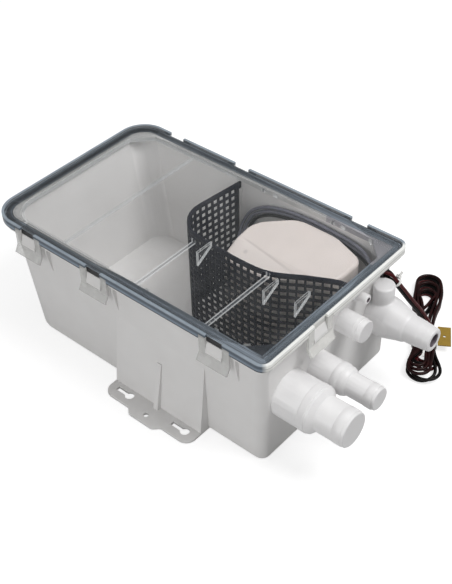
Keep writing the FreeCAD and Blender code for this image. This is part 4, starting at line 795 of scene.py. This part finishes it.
# Cable ties: a rounded loop, its head and its cut tail
tieForm = {"steps": 40, "headGrow": 0.9, "headShift": 0.15, "tailThick": 0.9, "soft": 0.25}
tieSet = {
    "exit": {
        "middle": (144.2, 76.0, 82.2), "along": (0.30, 0.50, -0.81), "up": (0, 0.9, 0.43),
        "half": (3.5, 3.5), "round": 1.0, "band": 2.3, "thick": 0.8, "head": (3.6, 2.6),
        "tail": ((144.4, 79.8, 86.0), (145.0, 83.0, 88.6)), "tailWide": 1.9,
    },
    "hank": {
        "middle": (162.5, 101.6, 5.55), "along": (-0.517, 0.856, 0.0), "up": (0, 0, 1),
        "half": (9.7, 4.5), "round": 0.55, "band": 3.2, "thick": 0.9, "head": (5.4, 3.0),
        "tail": ((164.9, 98.4, 11.6), (171.3, 85.4, 9.6)), "tailWide": 1.7,
    },
}


def addBlock(bm, middle, axes, size):
    turn = Matrix(axes).transposed().to_4x4()
    place = Matrix.Translation(middle * mm) @ turn @ Matrix.Diagonal((*(value * mm for value in size), 1))
    bmesh.ops.create_cube(bm, size=1, matrix=place)


def makeTie(name, spec, node):
    along = Vector(spec["along"]).normalized()
    up = Vector(spec["up"])
    up = (up - along * up.dot(along)).normalized()
    across = up.cross(along)
    middle = Vector(spec["middle"])
    halfWide, halfTall = spec["half"]
    half = spec["band"] / 2
    bm = bmesh.new()
    rings = []
    for step in range(tieForm["steps"]):
        angle = math.tau * step / tieForm["steps"]
        flatX = math.copysign(abs(math.cos(angle)) ** spec["round"], math.cos(angle))
        flatY = math.copysign(abs(math.sin(angle)) ** spec["round"], math.sin(angle))
        ring = []
        for grow, shift in ((0, -half), (spec["thick"], -half), (spec["thick"], half), (0, half)):
            spot = across * (flatX * (halfWide + grow)) + up * (flatY * (halfTall + grow)) + along * shift
            ring.append(bm.verts.new((middle + spot) * mm))
        rings.append(ring)
    for before, after in zip(rings, rings[1:] + rings[:1]):
        for corner in range(4):
            beside = (corner + 1) % 4
            bm.faces.new((before[corner], before[beside], after[beside], after[corner]))
    headWide, headTall = spec["head"]
    head = middle + up * (halfTall + headTall / 2) + across * (halfWide * tieForm["headShift"])
    addBlock(bm, head, (across, up, along), (headWide, headTall, spec["band"] + tieForm["headGrow"]))
    start, end = (Vector(spot) for spot in spec["tail"])
    away = (end - start).normalized()
    flat = away.cross(up).normalized()
    tail = (spec["tailWide"], (end - start).length, tieForm["tailThick"])
    addBlock(bm, (start + end) / 2, (flat, away, flat.cross(away)), tail)
    bmesh.ops.recalc_face_normals(bm, faces=bm.faces)
    item = newPiece(name, bm, "nylon", "tub", smooth=False)
    softenEdges(item, tieForm["soft"])
    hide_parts(node)
    return item


# Bonnet, bulb and tail of the outlet valve as one moulding, and its screwed cap
valveSet = {
    "axis": (59.0, 60.0),
    "profile": [
        (136.4, 13.6), (136.4, 16.2), (139.4, 16.6), (143.0, 17.4), (148.5, 17.5), (154.0, 16.6),
        (159.5, 15.0), (164.5, 13.6), (168.0, 12.9), (169.4, 12.5), (170.4, 11.6), (181.6, 11.0),
        (182.0, 10.75), (187.8, 10.4), (188.2, 10.1), (192.2, 9.8), (193.0, 9.1), (193.0, 5.8),
        (191.8, 5.5), (160.5, 5.5), (156.0, 13.2), (137.0, 13.2),
    ],
    "bonnet": {"place": (143.9, 59.0), "radius": 8.6, "low": 74.4, "high": 88.6, "chamfer": 0.8},
    "cap": {"radius": 8.9, "low": 81.6, "high": 91.0, "chamfer": 0.4, "shoulder": (1.4, 0.5, 0.45, 1.5)},
    "soft": 0.15,
    "voxel": 0.55,
    "relax": (0.5, 5),
}


def turnedMesh(bm, profile, middle, alongX, segments=72):
    axis = Vector((1, 0, 0)) if alongX else Vector((0, 0, 1))
    side = Vector((0, 0, 1)) if alongX else Vector((1, 0, 0))
    rings = []
    for step in range(segments):
        spin = Matrix.Rotation(math.tau * step / segments, 3, axis)
        ring = [Vector(middle) + axis * reach + spin @ side * radius for reach, radius in profile]
        rings.append([bm.verts.new(spot * mm) for spot in ring])
    count = len(profile)
    for before, after in zip(rings, rings[1:] + rings[:1]):
        for corner in range(count):
            beside = (corner + 1) % count
            bm.faces.new((before[corner], before[beside], after[beside], after[corner]))
    bmesh.ops.remove_doubles(bm, verts=bm.verts, dist=edgeSet["merge"] * mm)
    bmesh.ops.recalc_face_normals(bm, faces=bm.faces)


def makeValve(spec):
    bm = bmesh.new()
    turnedMesh(bm, spec["profile"], (0, *spec["axis"]), True)
    bonnet = spec["bonnet"]
    low, high, radius, chamfer = (bonnet[key] for key in ("low", "high", "radius", "chamfer"))
    wall = [(low, 0.0), (low, radius), (high - chamfer, radius), (high, radius - chamfer), (high, 0.0)]
    turnedMesh(bm, wall, (*bonnet["place"], 0), False)
    body = newPiece("valveBody", bm, "port", "tub")
    skin = body.modifiers.new("oneSkin", "REMESH")
    skin.mode = "VOXEL"
    skin.voxel_size = spec["voxel"] * mm
    skin.use_smooth_shade = True
    relax = body.modifiers.new("relax", "SMOOTH")
    relax.factor, relax.iterations = spec["relax"]
    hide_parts("outlet_valve_body")
    low, high, radius, chamfer = (spec["cap"][key] for key in ("low", "high", "radius", "chamfer"))
    drop, dropAbove, inAbove, inTop = spec["cap"]["shoulder"]
    bm = bmesh.new()
    rim = [
        (low, 0.0), (low, radius - chamfer), (low + chamfer, radius), (high - drop, radius),
        (high - dropAbove, radius - inAbove), (high, radius - inTop), (high, 0.0),
    ]
    turnedMesh(bm, rim, (*bonnet["place"], 0), False)
    top = newPiece("valveCapTop", bm, "port", "tub")
    softenEdges(top, spec["soft"])
    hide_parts("valve_cap")


# The vent nipple: a ribbed foot and a short open barrel
ventSet = {
    "axis": (31.0, 96.0),
    "profile": [
        (134.2, 5.9), (135.4, 5.9), (135.8, 5.3), (136.6, 5.3), (137.0, 5.9), (138.2, 5.9), (138.8, 4.2),
        (147.3, 4.0), (148.0, 3.4), (148.0, 1.9), (139.4, 1.9), (139.4, 0.0), (134.2, 0.0),
    ],
    "segments": 48,
    "soft": 0.2,
}


def makeVent(spec):
    bm = bmesh.new()
    turnedMesh(bm, spec["profile"], (0, *spec["axis"]), True, spec["segments"])
    item = newPiece("ventBarrel", bm, "port", "tub", smooth=False)
    softenEdges(item, spec["soft"])
    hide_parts("vent_nipple")


# Raised rings on the spigots: node, where along X, radius, width and rise in mm
beadSet = [
    ("inlet_spigot_large", 162.2, 19.4, 6.4, 0.5), ("inlet_spigot_large", 190.4, 14.6, 8.0, 0.4),
    ("inlet_spigot_medium", 159.0, 12.5, 5.4, 0.45), ("inlet_spigot_medium", 188.6, 9.75, 6.6, 0.35),
    ("inlet_spigot_small", 151.2, 9.75, 1.2, 0.3), ("inlet_spigot_small", 154.2, 9.75, 1.2, 0.3),
]
beadForm = {"sunk": 1.0, "slope": 0.6, "soft": 0.2}


def makeBeads():
    for number, (node, reach, radius, width, rise) in enumerate(beadSet):
        low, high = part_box(node)
        middle = (low + high) / 2 / mm
        bm = bmesh.new()
        start, end = reach - width / 2, reach + width / 2
        inside, slope = radius - beadForm["sunk"], beadForm["slope"]
        ring = [
            (start, inside), (start, radius), (start + slope, radius + rise),
            (end - slope, radius + rise), (end, radius), (end, inside),
        ]
        turnedMesh(bm, ring, (0, middle.y, middle.z), True)
        softenEdges(newPiece("bead%d" % number, bm, "port", "tub"), beadForm["soft"])


# Strainer: one perforated sheet, bent along the screen's line. Its ear at the top of the start has a reach,
# a height on the sheet and a height at its tip.
strainerSet = {
    "startX": -20.0,
    "corners": [(-28.5, 2.5, 30), (46.0, -1.0, 50), (74.0, 0.0, 50), (98.0, 15.0, 45), (123.0, 28.0, 20)],
    "endY": 29.0,
    "bendStep": 3,
    "straight": 0.001,
    "pitch": 6.6,
    "hole": 4.2,
    "border": 3.2,
    "tolerance": 0.01,
    "least": 0.0001,
    "thick": 2.0,
    "ear": (4.6, 12.0, 6.0),
}


def screenPath(spec, high):
    corners = [Vector((spec["startX"], high.y, 0))]
    corners += [Vector((x, y, 0)) for x, y, radius in spec["corners"]]
    corners.append(Vector((high.x, spec["endY"], 0)))
    line = [corners[0]]
    for index, (x, y, radius) in enumerate(spec["corners"], 1):
        into = (corners[index] - corners[index - 1]).normalized()
        away = (corners[index + 1] - corners[index]).normalized()
        turn = into.angle(away)
        if turn < spec["straight"]:
            continue
        trim = radius * math.tan(turn / 2)
        first = corners[index] - into * trim
        inward = (away - into).normalized()
        middle = corners[index] + inward * (radius / math.cos(turn / 2))
        sweep = first - middle
        sign = 1 if into.cross(away).z > 0 else -1
        steps = max(4, int(math.degrees(turn) / spec["bendStep"]))
        for step in range(steps + 1):
            line.append(middle + Matrix.Rotation(sign * turn * step / steps, 3, "Z") @ sweep)
    line.append(corners[-1])
    return line


def makeStrainer(spec):
    low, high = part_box("strainer_screen")
    low, high = low / mm, high / mm
    line = screenPath(spec, high)
    lengths = [0.0]
    for before, after in zip(line, line[1:]):
        lengths.append(lengths[-1] + (after - before).length)
    total = lengths[-1]
    tall = high.z - low.z
    columns = int((total - 2 * spec["border"]) / spec["pitch"])
    rows = int((tall - 2 * spec["border"]) / spec["pitch"])
    wide = (total - 2 * spec["border"]) / columns
    rise = (tall - 2 * spec["border"]) / rows
    bm = bmesh.new()
    bmesh.ops.create_grid(bm, x_segments=columns, y_segments=rows, size=0.5)
    for vertex in bm.verts:
        vertex.co.x = spec["border"] + (vertex.co.x + 0.5) * columns * wide
        vertex.co.y = spec["border"] + (vertex.co.y + 0.5) * rows * rise
    cells = list(bm.faces)
    bmesh.ops.inset_individual(bm, faces=cells, thickness=(spec["pitch"] - spec["hole"]) / 2)
    corners = {vertex for cell in cells for vertex in cell.verts}
    bmesh.ops.delete(bm, geom=cells, context="FACES_ONLY")
    rim = [edge for edge in bm.edges if edge.is_boundary and not any(v in corners for v in edge.verts)]
    grown = bmesh.ops.extrude_edge_only(bm, edges=rim)["geom"]
    for vertex in (item for item in grown if isinstance(item, bmesh.types.BMVert)):
        for axis, limit in ((0, total), (1, tall)):
            if abs(vertex.co[axis] - spec["border"]) < spec["tolerance"]:
                vertex.co[axis] = 0
            elif abs(vertex.co[axis] - limit + spec["border"]) < spec["tolerance"]:
                vertex.co[axis] = limit
    reach, inner, outer = spec["ear"]
    ear = [(-reach, tall - outer), (0, tall - inner), (0, tall), (-reach, tall)]
    bm.faces.new([bm.verts.new((x, y, 0)) for x, y in ear])
    bmesh.ops.recalc_face_normals(bm, faces=bm.faces)
    ahead = (line[1] - line[0]).normalized()
    for vertex in bm.verts:
        distance = min(max(vertex.co.x, 0.0), total - spec["least"])
        index = max(i for i, value in enumerate(lengths) if value <= distance)
        step = (distance - lengths[index]) / max(lengths[index + 1] - lengths[index], spec["least"])
        spot = line[index].lerp(line[index + 1], step) + ahead * min(vertex.co.x, 0.0)
        vertex.co = Vector((spot.x, spot.y, low.z + vertex.co.y)) * mm
    item = newPiece("strainerMesh", bm, "screen", "tub")
    solid = item.modifiers.new("thickness", "SOLIDIFY")
    solid.thickness = spec["thick"] * mm
    solid.offset = 0
    return item


strainer = makeStrainer(strainerSet)
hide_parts("strainer_screen")
print("strainer made,", len(strainer.data.polygons), "faces before thickness")


# CAD nodes keep their meshes and take the finishes
nodeFinish = {
    "tub": ["tub_shell"],
    "clear": ["lid_cover"],
    "clip": [name for name in nodes if name.startswith("clip_") and name != "clip_end"],
    "endClip": ["clip_end"],
    "gasket": ["lid_gasket"],
    "port": [*spigots, "valve_lock_nut"],
    "rubber": ["valve_seal", "check_flap", "elbow_sleeve", "shaft_seal", "lead_grommet"],
    "cover": ["pump_cover"],
    "pumpGrey": ["pump_base", "volute", "discharge_elbow", "impeller", "float_switch"],
    "can": ["motor_can"],
    "steel": ["flap_pin", "float_pin", "rotor_shaft", "motor_screws", "armature"],
    "bronze": ["upper_bush", "lower_bush"],
    "ferrite": ["motor_magnets"],
    "screen": ["switch_float"],
    "blackSkin": ["inner_lead_black"],
    # Painted shade colour on the brown and striped inner leads.
    "innerSkin": ["inner_lead_brown", "inner_lead_striped"],
    "tag": ["lead_tag"],
}
for finish, names in nodeFinish.items():
    for name in names:
        mesh = nodes[name].data
        mesh.materials.clear()
        mesh.materials.append(finishes[finish])


# Edges that a mould rounds: width in mm
softEdges = {
    "tub_shell": 0.45, "lid_cover": 0.55, "lid_gasket": 0.4, "inlet_spigot_large": 0.5,
    "inlet_spigot_medium": 0.45, "inlet_spigot_small": 0.45, "valve_lock_nut": 0.3, "discharge_elbow": 0.3,
    "volute": 0.4, "pump_base": 0.3,
}
softEdges.update({name: 0.3 for name in nodes if name.startswith("clip_")})
for name, width in softEdges.items():
    softenEdges(nodes[name], width)
    if name.startswith("clip_"):
        # Painted shade on the clips' rounded edges.
        nodes[name].data.materials.append(finishes["clipEdgeShade"])
        nodes[name].modifiers["softEdge"].material = 1
# Painted highlight on the lid's rounded edges.
nodes["lid_cover"].data.materials.append(finishes["clearEdgeHighlight"])
nodes["lid_cover"].modifiers["softEdge"].material = 1
ties = [makeTie("exitTie", tieSet["exit"], "exit_tie"), makeTie("hankTie", tieSet["hank"], "hank_tie")]
makeValve(valveSet)
makeVent(ventSet)
makeBeads()
print("nodes dressed")


for name, lead in leads.items():
    ties + [nodes["lead_tag"]] if name == "black" else []


# Floor, world and lamps. The floor glows for the camera and in reflections. The world is brighter to look
# at than as light.
stageSet = {"size": 6, "grey": 0.42, "glow": 0.72, "glossyGlow": 0.30, "skyLight": 0.34, "skySeen": 1.0}


def makeStage(spec):
    bpy.ops.mesh.primitive_plane_add(size=spec["size"], location=(0, 0, 0))
    floor = bpy.context.object
    floor.name = "studioFloor"
    look = Finish("floorWhite", Roughness=0.9, Base_Color=rgb(*[spec["grey"]] * 3))
    ray = look.add("LightPath", output=0)
    glossy = look.add("LightPath", output=3)
    glow = look.add("Emission", i0=rgb(1, 1, 1), i1=ray * spec["glow"] + glossy * spec["glossyGlow"])
    both = look.add("AddShader", i0=Wire(look.tree, look.shader.outputs[0]), i1=glow)
    look.tree.links.new(both.socket, look.end.inputs[0])
    floor.data.materials.append(look.material)
    world = bpy.data.worlds.new("studioWorld")
    scene.world = world
    world.use_nodes = True
    tree = world.node_tree
    backing = tree.nodes["Background"]
    backing.inputs[0].default_value = rgb(1.0, 1.0, 1.0)
    path = tree.nodes.new("ShaderNodeLightPath")
    mixer = tree.nodes.new("ShaderNodeMix")
    mixer.data_type = "FLOAT"
    mixer.inputs[2].default_value = spec["skyLight"]
    mixer.inputs[3].default_value = spec["skySeen"]
    tree.links.new(path.outputs[0], mixer.inputs[0])
    tree.links.new(mixer.outputs[0], backing.inputs[1])


lampSet = {
    "keyRight": {"place": (0.82, 0.34, 1.36), "aim": (0.0, 0.0, 0.05), "size": 0.8, "power": 14.6},
    "topSoft": {"place": (-0.1, 0.25, 1.5), "aim": (0.0, 0.0, 0.0), "size": 1.4, "power": 4.0},
    "fillFront": {"place": (0.15, -1.6, 0.35), "aim": (0.0, 0.0, 0.05), "size": 1.0, "power": 8.5},
}


def makeLamp(name, spec):
    data = bpy.data.lights.new(name, "AREA")
    data.shape = "DISK"
    data.size = spec["size"]
    data.energy = spec["power"]
    item = bpy.data.objects.new(name, data)
    scene.collection.objects.link(item)
    place = Vector(spec["place"])
    turn = (place - Vector(spec["aim"])).to_track_quat("Z", "Y").to_matrix().to_4x4()
    item.matrix_world = Matrix.Translation(place) @ turn


makeStage(stageSet)
for name, spec in lampSet.items():
    makeLamp(name, spec)
scene.view_settings.view_transform = "Standard"
print("stage and lamps made")
